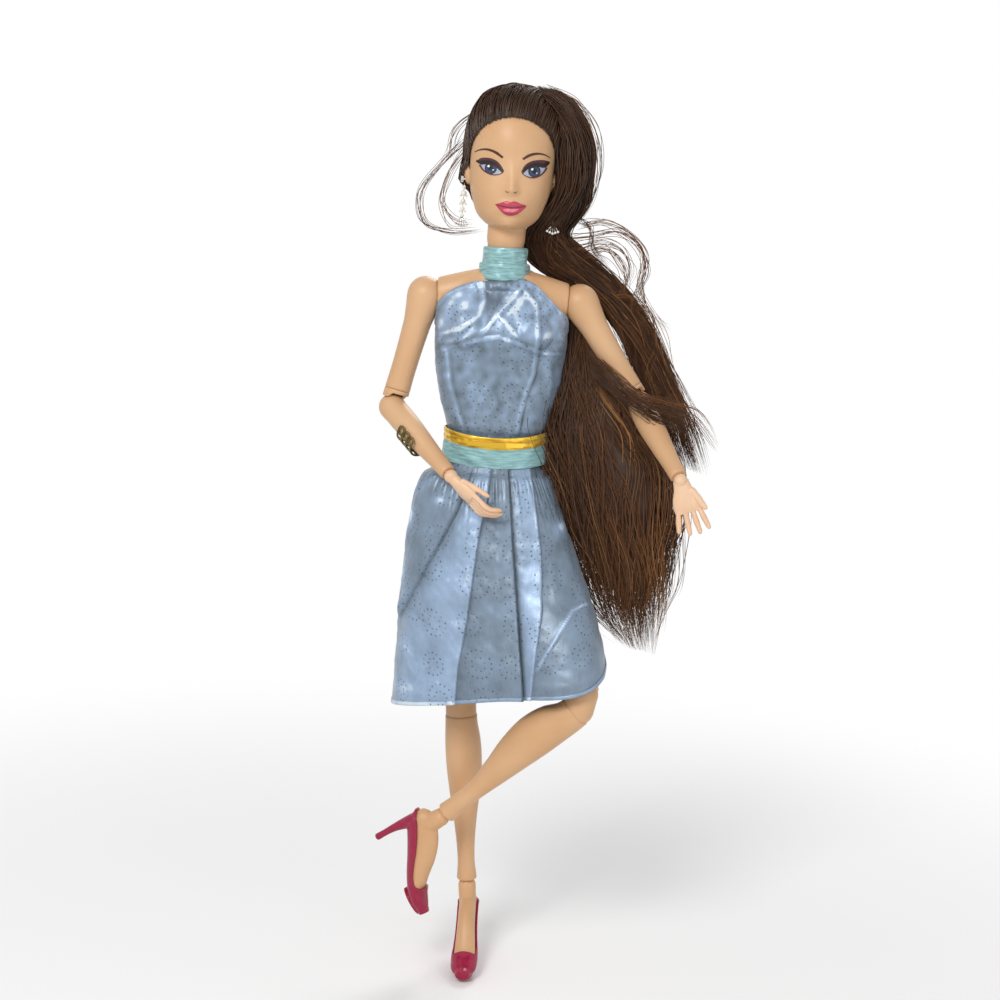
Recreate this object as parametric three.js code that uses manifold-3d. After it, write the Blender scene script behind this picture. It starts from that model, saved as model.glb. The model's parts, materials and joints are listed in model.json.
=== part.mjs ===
// An articulated fashion doll, about 30 cm tall, in its display pose: one leg crossed in front
// of the other, one forearm over the skirt, hair falling over the left shoulder.
// Millimetres, +Z up, the face towards -Y, the doll's own left side at +X.
// The origin is the middle of the waist at the height of the belt.

import * as THREE from 'three';
import { mergeVertices } from 'three/addons/utils/BufferGeometryUtils.js';
import Module from 'manifold-3d';

const wasm = await Module();
wasm.setup();

// Clearances and counts shared by every piece
const gap = 0.35;
const overrun = 6;
const beyond = 40;
const limbSides = 10;
const torsoSides = 16;
const ballSides = 10;
const ballRings = 8;
const socketSides = 12;
const pinSides = 8;
const fingerSides = 6;
const beadSides = 6;
const beadRings = 4;
const skirtSides = 46;

// Torso
const torso = {
  chestHalfWidth: 21.2, chestHalfDepth: 10.6, chestBottom: 5.2, chestTop: 57,
  bustRadius: 7.8, bustSpread: 8.8, bustForward: 6.6, bustHeight: 37.6,
  yokeHalfWidth: 22.1, yokeHeight: 51.6, yokeHalfHeight: 6.2, yokeHalfDepth: 5.6,
  yokeBack: 1.6, yokeDrop: 2.6,
  neckRadius: 6.2, neckTop: 68.6, neckBase: 52, neckBack: 0.6,
};
const pelvis = {
  top: 1.2, bottom: -35.5, hipHalfWidth: 19.8, hipHalfDepth: 11.8,
  legLineInner: 1.7, legLineBottom: -31, legLineOuter: 21, legLineTop: -14,
};
const waistJoint = {
  bendHeight: 9.5, stemRadius: 2.1, stemBottom: -8, flangeRadius: 7.5, flangeThickness: 0.9,
  barrelRadius: 2.6, barrelHalf: 6.2, slotAngle: 14,
};

// Head and neck joint
const headSize = {
  halfWidth: 14.1, front: 14.6, back: 14.2, chinLift: 3, skullHeight: 43.6, middleY: -0.8,
  tiltAngle: 1.8, noseLength: 3.1, noseLift: 13, noseWidth: 2.3, noseRise: 4.2,
};
const chinHeight = torso.neckTop + headSize.chinLift;
const neckJoint = {
  pivotHeight: torso.neckTop, ballRadius: 2.6, stemRadius: 1.2, plugRadius: 3.4, plugRise: 8.9,
  plugThickness: 3, headSocketRadius: 6.9, openingAngle: 42, plateThickness: 1.5, cavityMargin: 0.6,
};
const ear = { sunk: 0.5, middleY: 0.6, lift: 17.1, halfX: 2.3, halfY: 2.6, halfZ: 3.6, hairMargin: 0.2 };
const earMiddle = [headSize.halfWidth - ear.sunk, ear.middleY, chinHeight + ear.lift];

// Earrings, whose hole in the ear is set out from the ear's middle
const earring = {
  out: 1.7, forward: 1.2, below: 1.8, studRadius: 1.1, studThickness: 0.9, postRadius: 0.35,
  postLength: 2.4, dropOut: 1.8, dropLength: 15.2, dropRadius: 1.0, beadCount: 4, linkRadius: 0.28,
};
const earX = earMiddle[0] + earring.out;
const earY = earMiddle[1] - earring.forward;
const earHeight = earMiddle[2] - earring.below;
const dropX = earMiddle[0] + earring.dropOut;

// Arms
const arm = {
  shoulderX: 26, shoulderY: 2, shoulderZ: 48.5, ballRadius: 6.2,
  upperLength: 39.6, upperHalfWidth: 5.0, upperHalfDepth: 5.2,
  lowerLength: 36.4, lowerHalfWidth: 4.3, lowerHalfDepth: 4.3,
  hubStemRadius: 1.3, hubStemLength: 10.5, hubBarrelRadius: 1.7, hubBarrelHalf: 3,
  elbowRadius: 4.5, elbowCupRadius: 4.35, elbowCupBottom: 3.0, elbowCupTop: 6.1, elbowReliefTop: 4.9,
  elbowReliefY: -0.9, tongueHalf: 1.1, tongueRadius: 2.1, elbowPegRadius: 1.4, elbowPegLength: 4,
  pinRadius: 0.85, pinHalf: 3.1,
  wristRadius: 2.3, wristBack: 2.2, wristStemRadius: 0.75, wristStemLength: 5.6,
  wristBarrelRadius: 0.9, wristBarrelHalf: 1.3,
};
const hand = {
  palmLength: 8.6, palmHalfWidth: 3.7, palmHalfDepth: 1.65, fingerLength: 8.6, fingerRadius: 0.86,
  thumbLength: 6.4, thumbRadius: 1.0, thumbSplayAngle: 38, thumbCurlAngle: 8,
};
const bracelet = { along: 15.5, innerRadius: 4.75, thickness: 0.7, width: 8.4 };

// Legs
const leg = {
  hipX: 12.2, hipZ: -26, ballRadius: 9.2, capLength: 13,
  thighLength: 66, thighHalfWidth: 8.3, thighHalfDepth: 8.9,
  shinLength: 65.6, shinHalfWidth: 6.2, shinHalfDepth: 6.6,
  hubStemRadius: 1.7, hubStemStart: 0.9, hubBarrelRadius: 2.2, hubBarrelHalf: 4.2,
  turnPegRadius: 2.2, turnPegLength: 4,
  kneeLink: 5.2, kneeRadius: 5.3, kneeRimFront: 0.6, kneeRimBack: 5.0, kneeReliefY: 0.4,
  tabHalf: 1.2, tabRadius: 2.0, pinRadius: 0.9, pinHalf: 4.0,
  ankleRadius: 3.1, ankleBack: 3.0, ankleStemRadius: 0.9, ankleStemLength: 8,
  ankleBarrelRadius: 1.1, ankleBarrelHalf: 1.7,
};
const foot = {
  length: 27, heelBack: 5.4, soleDrop: 23.6, halfWidth: 3.7, shoeWall: 0.75, heelTipRadius: 1.3,
  heelTopRadius: 2.3, heelY: 3.6, heelTop: -9.6, soleFlat: 1.1, openingFront: 17.2, counterRise: 3,
};
const soleShare = { front: 0.74, back: 0.48, width: 0.9, vamp: 0.84 };

// Pose angles of the display pose, in degrees
const pose = {
  right: {
    armSwingAngle: -3, armRaiseAngle: 14, elbowTurnAngle: 51.7, elbowBendAngle: 65.7,
    wristTurnAngle: 121.6, wristBendAngle: -23.5,
    handDeviationAngle: 6.5, fingerCurlAngle: 22, fingerSpreadAngle: 0.5,
    legSwingAngle: -1, legSpreadAngle: -4.3, thighTurnAngle: -10,
    kneeBendAngle: 2, ankleTurnAngle: 6, ankleBendAngle: 0,
  },
  left: {
    armSwingAngle: -5.2, armRaiseAngle: -33.2, elbowTurnAngle: -5, elbowBendAngle: 41.3,
    wristTurnAngle: 3.8, wristBendAngle: 42.8,
    handDeviationAngle: 11.4, fingerCurlAngle: 6, fingerSpreadAngle: 1.3,
    legSwingAngle: -27.3, legSpreadAngle: -19.3, thighTurnAngle: 59.8,
    kneeBendAngle: 74.6, ankleTurnAngle: 14, ankleBendAngle: 8,
  },
};

// Reach of the joints whose slots are cut for it, in degrees
const reach = {
  raiseLowAngle: -8, raiseHighAngle: 100, elbowLowAngle: -4, elbowHighAngle: 100, wristAngle: 50,
  hipLiftAngle: 95, spreadLowAngle: -24, spreadHighAngle: 50, kneeLowAngle: -4, kneeHighAngle: 58,
  ankleAngle: 40, neckAngle: 20,
};

// Clothes
const cloth = {
  bodiceInner: 0.4, bodiceOuter: 1.25, bodiceBottom: 3.1, bodiceTop: 53.6, halterHalfTop: 8.4,
  halterHalfBust: 23.6, halterBustHeight: 42.5, underarmHeight: 38.5, underarmHalf: 21.4,
  collarBottom: 54.4, collarTop: 65.4, collarInner: 6.6, collarOuter: 7.9,
  bandBottom: -9.6, bandTop: 0.9, bandInnerTop: 15.6, bandInnerBottom: 17.2, bandThickness: 0.8,
  beltBottom: -1.5, beltTop: 2.6, beltThickness: 0.55, beltGap: 0.35,
  barHalfWidth: 9.4, barHalfHeight: 0.75, barThickness: 0.7, bandDepthShare: 0.7,
  closureHalfWidth: 2.4, closureBottom: 6, closureTop: 33, closureThickness: 0.6,
};
const skirt = {
  top: -9.9, waistHalfWidth: 18.3, waistHalfDepth: 13.6, hemHalfWidth: 33.2, hemHalfDepth: 21.5,
  hemShiftX: 2.8, hemShiftY: -6.2, thickness: 0.9, hemRight: -90.8, hemFront: -86.2, hemLeft: -72,
  foldDepth: 1.02, kneeReach: 15.6,
};
const foldShare = { atWaist: 0.15, front: 0.35, second: 0.45, third: 0.3 };
const foldWaves = { first: 7, second: 13, third: 23, firstTurn: 0.6, secondTurn: 1.9 };
const flareShare = { right: 0.27, left: 0.72 };
const kneeShare = { angle: -0.7, spread: 0.32 };

// Hair
const hair = {
  capThickness: 2.9, faceHalfWidth: 14.3, faceHeight: 19.6, faceLift: 15.4, faceDepth: 15.5, faceY: -17.5,
};

// Materials
function plastic(color, roughness = 0.5) {
  return new THREE.MeshStandardMaterial({ color, roughness, metalness: 0 });
}
const skinMaterial = plastic(0xd8a984, 0.45);
const handMaterial = plastic(0xe9bfa2, 0.45);
const innerMaterial = plastic(0xd9c2a8, 0.5);
const hairMaterial = plastic(0x3a2418, 0.4);
const satinMaterial = plastic(0x93a9c0, 0.35);
const tealMaterial = plastic(0x8cc4c8, 0.35);
const shoeMaterial = plastic(0x7a1030, 0.3);
const goldMaterial = new THREE.MeshStandardMaterial({ color: 0xe2b830, roughness: 0.35, metalness: 0.8 });
const silverMaterial = new THREE.MeshStandardMaterial({ color: 0xd8d8dc, roughness: 0.25, metalness: 0.9 });
const bronzeMaterial = new THREE.MeshStandardMaterial({ color: 0x6a5a3a, roughness: 0.4, metalness: 0.9 });

// Solids: a closed geometry becomes a solid, and a solid becomes a mesh again
function solidOf(geometry) {
  const bare = geometry.clone();
  bare.deleteAttribute('normal');
  bare.deleteAttribute('uv');
  const merged = mergeVertices(bare);
  const mesh = new wasm.Mesh({
    numProp: 3,
    vertProperties: new Float32Array(merged.attributes.position.array),
    triVerts: new Uint32Array(merged.index.array),
  });
  return new wasm.Manifold(mesh);
}

function meshOf(name, solid, material) {
  const { vertProperties, triVerts } = solid.getMesh();
  const geometry = new THREE.BufferGeometry();
  geometry.setAttribute('position', new THREE.BufferAttribute(new Float32Array(vertProperties), 3));
  geometry.setIndex(new THREE.BufferAttribute(new Uint32Array(triVerts), 1));
  geometry.computeVertexNormals();
  const mesh = new THREE.Mesh(geometry, material);
  mesh.name = name;
  return mesh;
}

function cut(solid, ...tools) {
  return tools.reduce((rest, tool) => rest.subtract(tool), solid);
}

function join(solid, ...others) {
  return others.reduce((whole, other) => whole.add(other), solid);
}

function common(solid, tool) {
  return solid.intersect(tool);
}

function largest(solid) {
  return solid.decompose().sort((a, b) => b.volume() - a.volume())[0];
}

const radians = THREE.MathUtils.degToRad;

// Basic shapes as solids
function ball(radius, x = 0, y = 0, z = 0, sides = ballSides, rings = ballRings) {
  return solidOf(new THREE.SphereGeometry(radius, sides, rings).rotateX(Math.PI / 2).translate(x, y, z));
}

function block(lowX, highX, lowY, highY, lowZ, highZ) {
  const shape = new THREE.BoxGeometry(highX - lowX, highY - lowY, highZ - lowZ);
  return solidOf(shape.translate((lowX + highX) / 2, (lowY + highY) / 2, (lowZ + highZ) / 2));
}

function postZ(radius, lowZ, highZ, x = 0, y = 0, sides = pinSides) {
  const shape = new THREE.CylinderGeometry(radius, radius, highZ - lowZ, sides).rotateX(Math.PI / 2);
  return solidOf(shape.translate(x, y, (lowZ + highZ) / 2));
}

function barX(radius, lowX, highX, y = 0, z = 0, sides = pinSides) {
  const shape = new THREE.CylinderGeometry(radius, radius, highX - lowX, sides).rotateZ(Math.PI / 2);
  return solidOf(shape.translate((lowX + highX) / 2, y, z));
}

function barY(radius, lowY, highY, x = 0, z = 0, sides = pinSides) {
  const shape = new THREE.CylinderGeometry(radius, radius, highY - lowY, sides);
  return solidOf(shape.translate(x, (lowY + highY) / 2, z));
}

// The room that a bar needs to swing around a pivot, from one angle to another in a plane
const planeYZ = [new THREE.Vector3(0, 1, 0), new THREE.Vector3(0, 0, 1)];
const planeXZ = [new THREE.Vector3(1, 0, 0), new THREE.Vector3(0, 0, 1)];

function fan([first, second], fromAngle, toAngle, radius, half, barHalf, x = 0, y = 0, z = 0) {
  const steps = Math.max(2, Math.ceil((toAngle - fromAngle) / 20));
  const along = (angle, out, side) => new THREE.Vector2(
    out * Math.cos(angle) + side * Math.sin(angle), out * Math.sin(angle) - side * Math.cos(angle),
  );
  const points = [along(radians(fromAngle), 0, barHalf), along(radians(fromAngle), radius, barHalf)];
  for (let step = 0; step <= steps; step += 1) {
    points.push(along(radians(fromAngle + (toAngle - fromAngle) * step / steps), radius, 0));
  }
  points.push(along(radians(toAngle), radius, -barHalf), along(radians(toAngle), 0, -barHalf));
  const middle = radians((fromAngle + toAngle) / 2);
  points.push(along(middle, -barHalf, 0));
  const shape = new THREE.ExtrudeGeometry(new THREE.Shape(points), { depth: 2 * half, bevelEnabled: false });
  shape.translate(0, 0, -half);
  const third = new THREE.Vector3().crossVectors(first, second);
  shape.applyMatrix4(new THREE.Matrix4().makeBasis(first, second, third));
  return solidOf(shape.translate(x, y, z));
}

// A range of angles for the right side, mirrored for the left
function sideAngles(side, low, high) {
  return side > 0 ? [180 - high, 180 - low] : [low, high];
}

// A closed body through rings: each station has a centre and two half axes
function loft(stations, sides) {
  const points = [];
  const faces = [];
  const last = stations.length - 1;
  stations.forEach(({ at, u, v, shape }) => {
    for (let side = 0; side < sides; side += 1) {
      const angle = 2 * Math.PI * side / sides;
      const point = shape ? shape(angle) : new THREE.Vector3()
        .addScaledVector(u, Math.cos(angle)).addScaledVector(v, Math.sin(angle));
      points.push(point.add(at));
    }
  });
  const startPole = points.push(stations[0].pole ?? stations[0].at) - 1;
  const endPole = points.push(stations[last].pole ?? stations[last].at) - 1;
  for (let side = 0; side < sides; side += 1) {
    const next = (side + 1) % sides;
    faces.push(startPole, next, side);
    faces.push(endPole, last * sides + side, last * sides + next);
    for (let row = 0; row < last; row += 1) {
      const a = row * sides + side;
      const b = row * sides + next;
      faces.push(a, b, a + sides, b, b + sides, a + sides);
    }
  }
  const geometry = new THREE.BufferGeometry();
  geometry.setAttribute('position', new THREE.Float32BufferAttribute(points.flatMap((p) => p.toArray()), 3));
  geometry.setIndex(faces);
  if (signedVolume(geometry) < 0) {
    const index = geometry.index.array;
    for (let corner = 0; corner < index.length; corner += 3) {
      [index[corner + 1], index[corner + 2]] = [index[corner + 2], index[corner + 1]];
    }
  }
  return geometry;
}

function signedVolume(geometry) {
  const position = geometry.attributes.position;
  const index = geometry.index.array;
  const [a, b, c] = [new THREE.Vector3(), new THREE.Vector3(), new THREE.Vector3()];
  let volume = 0;
  for (let corner = 0; corner < index.length; corner += 3) {
    a.fromBufferAttribute(position, index[corner]);
    b.fromBufferAttribute(position, index[corner + 1]);
    c.fromBufferAttribute(position, index[corner + 2]);
    volume += a.dot(b.cross(c)) / 6;
  }
  return volume;
}

// A body along -Z: rows give shares of its length, half width, half depth and two side shifts
function limbBody(rowsShare, length, halfWidth, halfDepth, grow = 0, sides = limbSides) {
  const stations = rowsShare.map(([along, width, depth, shiftX = 0, shiftY = 0]) => ({
    at: new THREE.Vector3(shiftX * halfWidth, shiftY * halfDepth, -along * length),
    u: new THREE.Vector3(width * halfWidth + grow, 0, 0),
    v: new THREE.Vector3(0, depth * halfDepth + grow, 0),
  }));
  return solidOf(loft(stations, sides));
}

// Ellipses stacked along +Z between two heights: rows give shares of height, width, front and back
function stackedBody(rowsShare, bottom, top, halfWidth, front, back, grow = 0, middleY = 0) {
  const stations = rowsShare.map(([height, width, frontShare, backShare]) => ({
    at: new THREE.Vector3(0, middleY, bottom + (top - bottom) * height),
    shape: (angle) => {
      const depth = Math.sin(angle) < 0 ? front * frontShare : back * backShare;
      const across = halfWidth * width + grow;
      return new THREE.Vector3(across * Math.cos(angle), (depth + grow) * Math.sin(angle), 0);
    },
  }));
  return solidOf(loft(stations, torsoSides));
}

// Upper torso: chest, bust, yoke and neck, grown by a margin where the clothes are cut by it
const chestShare = [
  [0, 0.74, 0.94, 0.86], [0.12, 0.83, 0.95, 0.84], [0.28, 0.93, 1, 0.86], [0.44, 0.98, 1.1, 0.9],
  [0.54, 1, 1.25, 0.9], [0.64, 1, 1.33, 0.9], [0.72, 0.99, 1.2, 0.88], [0.8, 0.96, 0.96, 0.85],
  [0.88, 0.86, 0.7, 0.78], [1, 0.5, 0.5, 0.62],
];

function chestSolid(grow) {
  const { chestBottom, chestTop, chestHalfWidth, chestHalfDepth, bustRadius, bustSpread } = torso;
  const chest = stackedBody(
    chestShare, chestBottom, chestTop, chestHalfWidth, chestHalfDepth, chestHalfDepth, grow,
  );
  const bustY = -torso.bustForward;
  const left = ball(bustRadius + grow, bustSpread, bustY, torso.bustHeight);
  const right = ball(bustRadius + grow, -bustSpread, bustY, torso.bustHeight);
  return join(chest, left, right);
}

// The shoulder yoke slopes from the neck down to the shoulder seams
const yokeShare = [
  [-1, 0.9, 1], [-0.62, 1.02, 0.4], [-0.3, 1.12, 0], [0.3, 1.12, 0], [0.62, 1.02, 0.4], [1, 0.9, 1],
];

function yokeSolid(grow = 0) {
  const { yokeHalfWidth, yokeHeight, yokeHalfHeight, yokeHalfDepth, yokeBack, yokeDrop } = torso;
  const stations = yokeShare.map(([across, size, drop]) => ({
    at: new THREE.Vector3(across * yokeHalfWidth, yokeBack, yokeHeight - yokeDrop * drop),
    u: new THREE.Vector3(0, yokeHalfDepth * size + grow, 0),
    v: new THREE.Vector3(0, 0, yokeHalfHeight * size + grow),
  }));
  return solidOf(loft(stations, limbSides));
}

function neckSolid(grow = 0) {
  const { neckRadius, neckTop, neckBase, neckBack } = torso;
  const flareShare = [[0, 1.5], [0.2, 1.15], [0.4, 1], [1, 1]];
  const stations = flareShare.map(([height, width]) => ({
    at: new THREE.Vector3(0, neckBack, neckBase + (neckTop - neckBase) * height),
    u: new THREE.Vector3(neckRadius * width + grow, 0, 0),
    v: new THREE.Vector3(0, neckRadius * width + grow, 0),
  }));
  return join(solidOf(loft(stations, limbSides)), ball(neckRadius + grow, 0, neckBack, neckTop));
}

// Sockets are finer than the balls in them, so that facets never meet as they turn
function socketBall(radius, x = 0, y = 0, z = 0) {
  return ball(radius + gap / 2, x, y, z, socketSides, socketSides / 2 + 2);
}

function shoulderSockets(radius) {
  return [1, -1].map((side) => socketBall(radius, side * arm.shoulderX, arm.shoulderY, arm.shoulderZ));
}

function makeUpperTorso() {
  const hubBore = arm.hubStemRadius + gap;
  const boreEnd = arm.shoulderX - arm.hubStemLength - gap;
  const bores = [1, -1].map((side) => {
    const ends = [side * boreEnd, side * arm.shoulderX].sort((a, b) => a - b);
    return barX(hubBore, ends[0], ends[1], arm.shoulderY, arm.shoulderZ);
  });
  const { bendHeight, barrelRadius, barrelHalf, slotAngle, stemRadius } = waistJoint;
  const socket = barX(barrelRadius + gap, -barrelHalf - gap, barrelHalf + gap, 0, bendHeight);
  const slot = fan(
    planeYZ, -90 - slotAngle, -90 + slotAngle, bendHeight, stemRadius + gap, stemRadius + gap,
    0, 0, bendHeight,
  );
  const { pivotHeight, ballRadius, openingAngle } = neckJoint;
  const neckCavity = ball(ballRadius + gap, 0, torso.neckBack, pivotHeight);
  const openRadius = (torso.neckRadius + gap) * Math.tan(radians(openingAngle));
  const cone = new THREE.ConeGeometry(openRadius, torso.neckRadius + gap, ballSides).rotateX(-Math.PI / 2);
  cone.translate(0, torso.neckBack, pivotHeight + (torso.neckRadius + gap) / 2);
  const whole = join(chestSolid(0), yokeSolid(), neckSolid());
  return cut(
    whole, ...shoulderSockets(arm.ballRadius + gap), ...bores, socket, slot, neckCavity, solidOf(cone),
  );
}

// Lower torso with its hip sockets and leg lines
const pelvisShare = [
  [0, 0.16, 0.3, 0.34], [0.1, 0.42, 0.62, 0.8], [0.25, 0.86, 0.82, 1.02], [0.42, 1, 0.92, 1.06],
  [0.56, 0.94, 0.92, 1.0], [0.7, 0.83, 0.88, 0.9], [0.84, 0.79, 0.86, 0.86], [1, 0.76, 0.86, 0.84],
];

function makeLowerTorso() {
  const { top, bottom, hipHalfWidth, hipHalfDepth } = pelvis;
  let whole = stackedBody(pelvisShare, bottom, top, hipHalfWidth, hipHalfDepth, hipHalfDepth);
  [1, -1].forEach((side) => {
    const hipBall = socketBall(leg.ballRadius + gap, side * leg.hipX, 0, leg.hipZ);
    const liftRoom = fan(
      planeYZ, -90 - reach.hipLiftAngle, -90, 2 * leg.ballRadius, leg.thighHalfWidth + 2 * gap,
      leg.thighHalfDepth + 2 * gap, side * leg.hipX, 0, leg.hipZ,
    );
    const ends = [side * (leg.hubStemStart - gap), side * leg.hipX].sort((a, b) => a - b);
    const bore = barX(leg.hubStemRadius + gap, ends[0], ends[1], 0, leg.hipZ);
    const outline = new THREE.Shape([
      new THREE.Vector2(side * pelvis.legLineInner, pelvis.bottom - overrun),
      new THREE.Vector2(side * pelvis.legLineInner, pelvis.legLineBottom),
      new THREE.Vector2(side * pelvis.legLineOuter, pelvis.legLineTop),
      new THREE.Vector2(side * (pelvis.legLineOuter + overrun), pelvis.bottom - overrun),
    ]);
    const depth = 2 * (hipHalfDepth + overrun);
    const wedge = new THREE.ExtrudeGeometry(outline, { depth, bevelEnabled: false });
    wedge.rotateX(Math.PI / 2).translate(0, depth / 2, 0);
    whole = cut(whole, hipBall, liftRoom, bore, solidOf(wedge));
  });
  const { stemRadius, stemBottom } = waistJoint;
  return cut(whole, postZ(stemRadius + gap, stemBottom - gap, top + overrun));
}

function makeWaistPivot() {
  const { bendHeight, stemRadius, stemBottom, flangeRadius, flangeThickness } = waistJoint;
  const { barrelRadius, barrelHalf } = waistJoint;
  const stem = postZ(stemRadius, stemBottom, bendHeight);
  const flangeBottom = pelvis.top + gap;
  const flange = postZ(flangeRadius, flangeBottom, flangeBottom + flangeThickness, 0, 0, ballSides);
  return join(stem, flange, barX(barrelRadius, -barrelHalf, barrelHalf, 0, bendHeight));
}

// Head: heights from chin to crown with shares of width, front and back
const headShare = [
  [0, 0.16, 0.5, -0.3], [0.03, 0.34, 0.74, -0.1], [0.09, 0.52, 0.86, 0.16], [0.18, 0.72, 0.92, 0.48],
  [0.3, 0.88, 0.95, 0.78], [0.42, 0.97, 0.96, 0.94], [0.52, 1, 0.95, 1], [0.62, 1.01, 0.97, 1.04],
  [0.74, 0.97, 0.94, 1.02], [0.85, 0.84, 0.8, 0.9], [0.93, 0.64, 0.6, 0.68], [0.98, 0.34, 0.32, 0.38],
];

function headBody(grow) {
  const { halfWidth, front, back, skullHeight, middleY } = headSize;
  const crown = chinHeight + skullHeight + grow;
  return stackedBody(headShare, chinHeight - grow, crown, halfWidth, front, back, grow, middleY);
}

function makeHead() {
  const { noseLength, noseLift, noseWidth, noseRise, front, middleY } = headSize;
  const faceY = middleY - front;
  const noseHeight = chinHeight + noseLift;
  const nose = solidOf(loft([
    { at: new THREE.Vector3(0, faceY + noseWidth, noseHeight + 2 * noseRise),
      u: new THREE.Vector3(noseWidth / 3, 0, 0), v: new THREE.Vector3(0, noseWidth / 2, 0) },
    { at: new THREE.Vector3(0, faceY + noseWidth / 2, noseHeight + noseRise),
      u: new THREE.Vector3(noseWidth / 2, 0, 0), v: new THREE.Vector3(0, noseWidth / 2, 0) },
    { at: new THREE.Vector3(0, faceY - noseLength + noseWidth, noseHeight),
      u: new THREE.Vector3(noseWidth, 0, 0), v: new THREE.Vector3(0, noseWidth, 0) },
    { at: new THREE.Vector3(0, faceY + noseWidth / 2, noseHeight - noseWidth / 2),
      u: new THREE.Vector3(noseWidth / 2, 0, 0), v: new THREE.Vector3(0, noseWidth / 2, 0) },
  ], pinSides));
  const { pivotHeight, headSocketRadius, stemRadius } = neckJoint;
  const { plugRadius, plugRise, plugThickness, cavityMargin } = neckJoint;
  const plugBottom = pivotHeight + plugRise;
  const plugTop = plugBottom + plugThickness;
  const pivotY = torso.neckBack;
  const socket = ball(headSocketRadius, 0, pivotY, pivotHeight);
  const flareHeight = plugBottom - pivotHeight;
  const flare = new THREE.CylinderGeometry(headSocketRadius, headSocketRadius, flareHeight, ballSides);
  flare.rotateX(Math.PI / 2).translate(0, pivotY, pivotHeight - flareHeight / 2);
  const channel = postZ(stemRadius + gap, pivotHeight, plugTop, 0, pivotY);
  const cavity = postZ(plugRadius + gap, plugBottom - gap, plugTop + cavityMargin, 0, pivotY, ballSides);
  const whole = join(headBody(0), nose, makeEar(1), makeEar(-1));
  return cut(whole, socket, solidOf(flare), channel, cavity, earHole(1), earHole(-1));
}

function makeEar(side) {
  const [middleX, middleY, middleZ] = earMiddle;
  const { halfX, halfY, halfZ } = ear;
  const shape = new THREE.SphereGeometry(halfZ, ballSides, ballRings).rotateX(Math.PI / 2);
  return solidOf(shape.scale(halfX / halfZ, halfY / halfZ, 1).translate(side * middleX, middleY, middleZ));
}

function earHole(side) {
  const { postRadius, postLength } = earring;
  const ends = [side * (earX - postLength - gap), side * (earX + overrun)].sort((a, b) => a - b);
  return barX(postRadius + gap, ends[0], ends[1], earY, earHeight);
}

function makeNeckKnob() {
  const { pivotHeight, ballRadius, plateThickness, stemRadius } = neckJoint;
  const knob = ball(ballRadius, 0, torso.neckBack, pivotHeight);
  const halfSlot = plateThickness / 2 + gap;
  const slot = fan(
    planeXZ, 90 - reach.neckAngle, 90 + reach.neckAngle, 2 * ballRadius, halfSlot, stemRadius + gap, 0,
    torso.neckBack, pivotHeight,
  );
  const eye = barY(stemRadius + gap, torso.neckBack - halfSlot, torso.neckBack + halfSlot, 0, pivotHeight);
  return cut(knob, slot, eye);
}

function makeNeckPlug() {
  const { pivotHeight, ballRadius, stemRadius, plugRadius, plugRise, plugThickness } = neckJoint;
  const plugBottom = pivotHeight + plugRise;
  const plugTop = plugBottom + plugThickness;
  const pivotY = torso.neckBack;
  const halfPlate = neckJoint.plateThickness / 2;
  const eye = barY(stemRadius, pivotY - halfPlate, pivotY + halfPlate, 0, pivotHeight);
  const plate = block(-stemRadius, stemRadius, pivotY - halfPlate, pivotY + halfPlate, pivotHeight,
    pivotHeight + 2 * ballRadius);
  const stem = postZ(stemRadius, pivotHeight + ballRadius + gap, plugTop, 0, pivotY);
  const plug = postZ(plugRadius, plugBottom, plugTop, 0, pivotY, ballSides);
  return join(eye, plate, stem, plug);
}

// Hair: a cap round the skull that leaves the face open, and the long fall as two tapered bodies
function makeHairCap() {
  const { capThickness, faceHalfWidth, faceHeight, faceLift, faceDepth, faceY } = hair;
  const faceCentre = chinHeight + faceLift;
  const earBack = earMiddle[1] + ear.halfY + ear.hairMargin;
  const earTop = earMiddle[2] + ear.halfZ + ear.hairMargin;
  const face = new THREE.SphereGeometry(faceHeight, limbSides + 2, limbSides);
  face.scale(faceHalfWidth / faceHeight, faceDepth / faceHeight, 1).translate(0, faceY, faceCentre);
  const faceColumn = new THREE.BoxGeometry(2 * faceHalfWidth, 2 * faceDepth, 2 * faceHeight);
  faceColumn.translate(0, faceY, faceCentre - faceHeight);
  const bottom = chinHeight - faceHeight;
  const earRoom = block(-beyond, beyond, -beyond, earBack, bottom, earTop);
  const below = block(-beyond, beyond, -beyond, beyond, bottom, chinHeight + faceHeight / 3);
  return cut(headBody(capThickness), headBody(gap), solidOf(face), solidOf(faceColumn), earRoom, below);
}

// Rows: shares of the reach along X, Y and Z, then half width and half depth as shares of a strand width
const fallSize = { startX: 15, startY: 8, startZ: 104, reachX: 42, reachY: 8, reachZ: 112, halfWidth: 15 };
const fallShare = [
  [0, 0.2, -0.03, 0.16, 0.2], [0.02, 0.1, 0, 0.42, 0.5], [0.06, 0, 0.1, 0.62, 0.62],
  [0.02, 0, 0.22, 0.62, 0.56], [0.02, 0.2, 0.33, 0.46, 0.4], [0.14, 0.6, 0.42, 0.46, 0.3],
  [0.38, 0.85, 0.5, 0.62, 0.2],
  [0.52, 0.85, 0.6, 0.8, 0.2], [0.66, 0.7, 0.72, 0.98, 0.22], [0.72, 0.6, 0.86, 1.0, 0.24],
  [0.76, 0.5, 1, 0.92, 0.24],
];
const lockSize = { startX: 29, startY: -8, startZ: 27, reachX: 24, reachY: 10, reachZ: 101, halfWidth: 14 };
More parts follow.
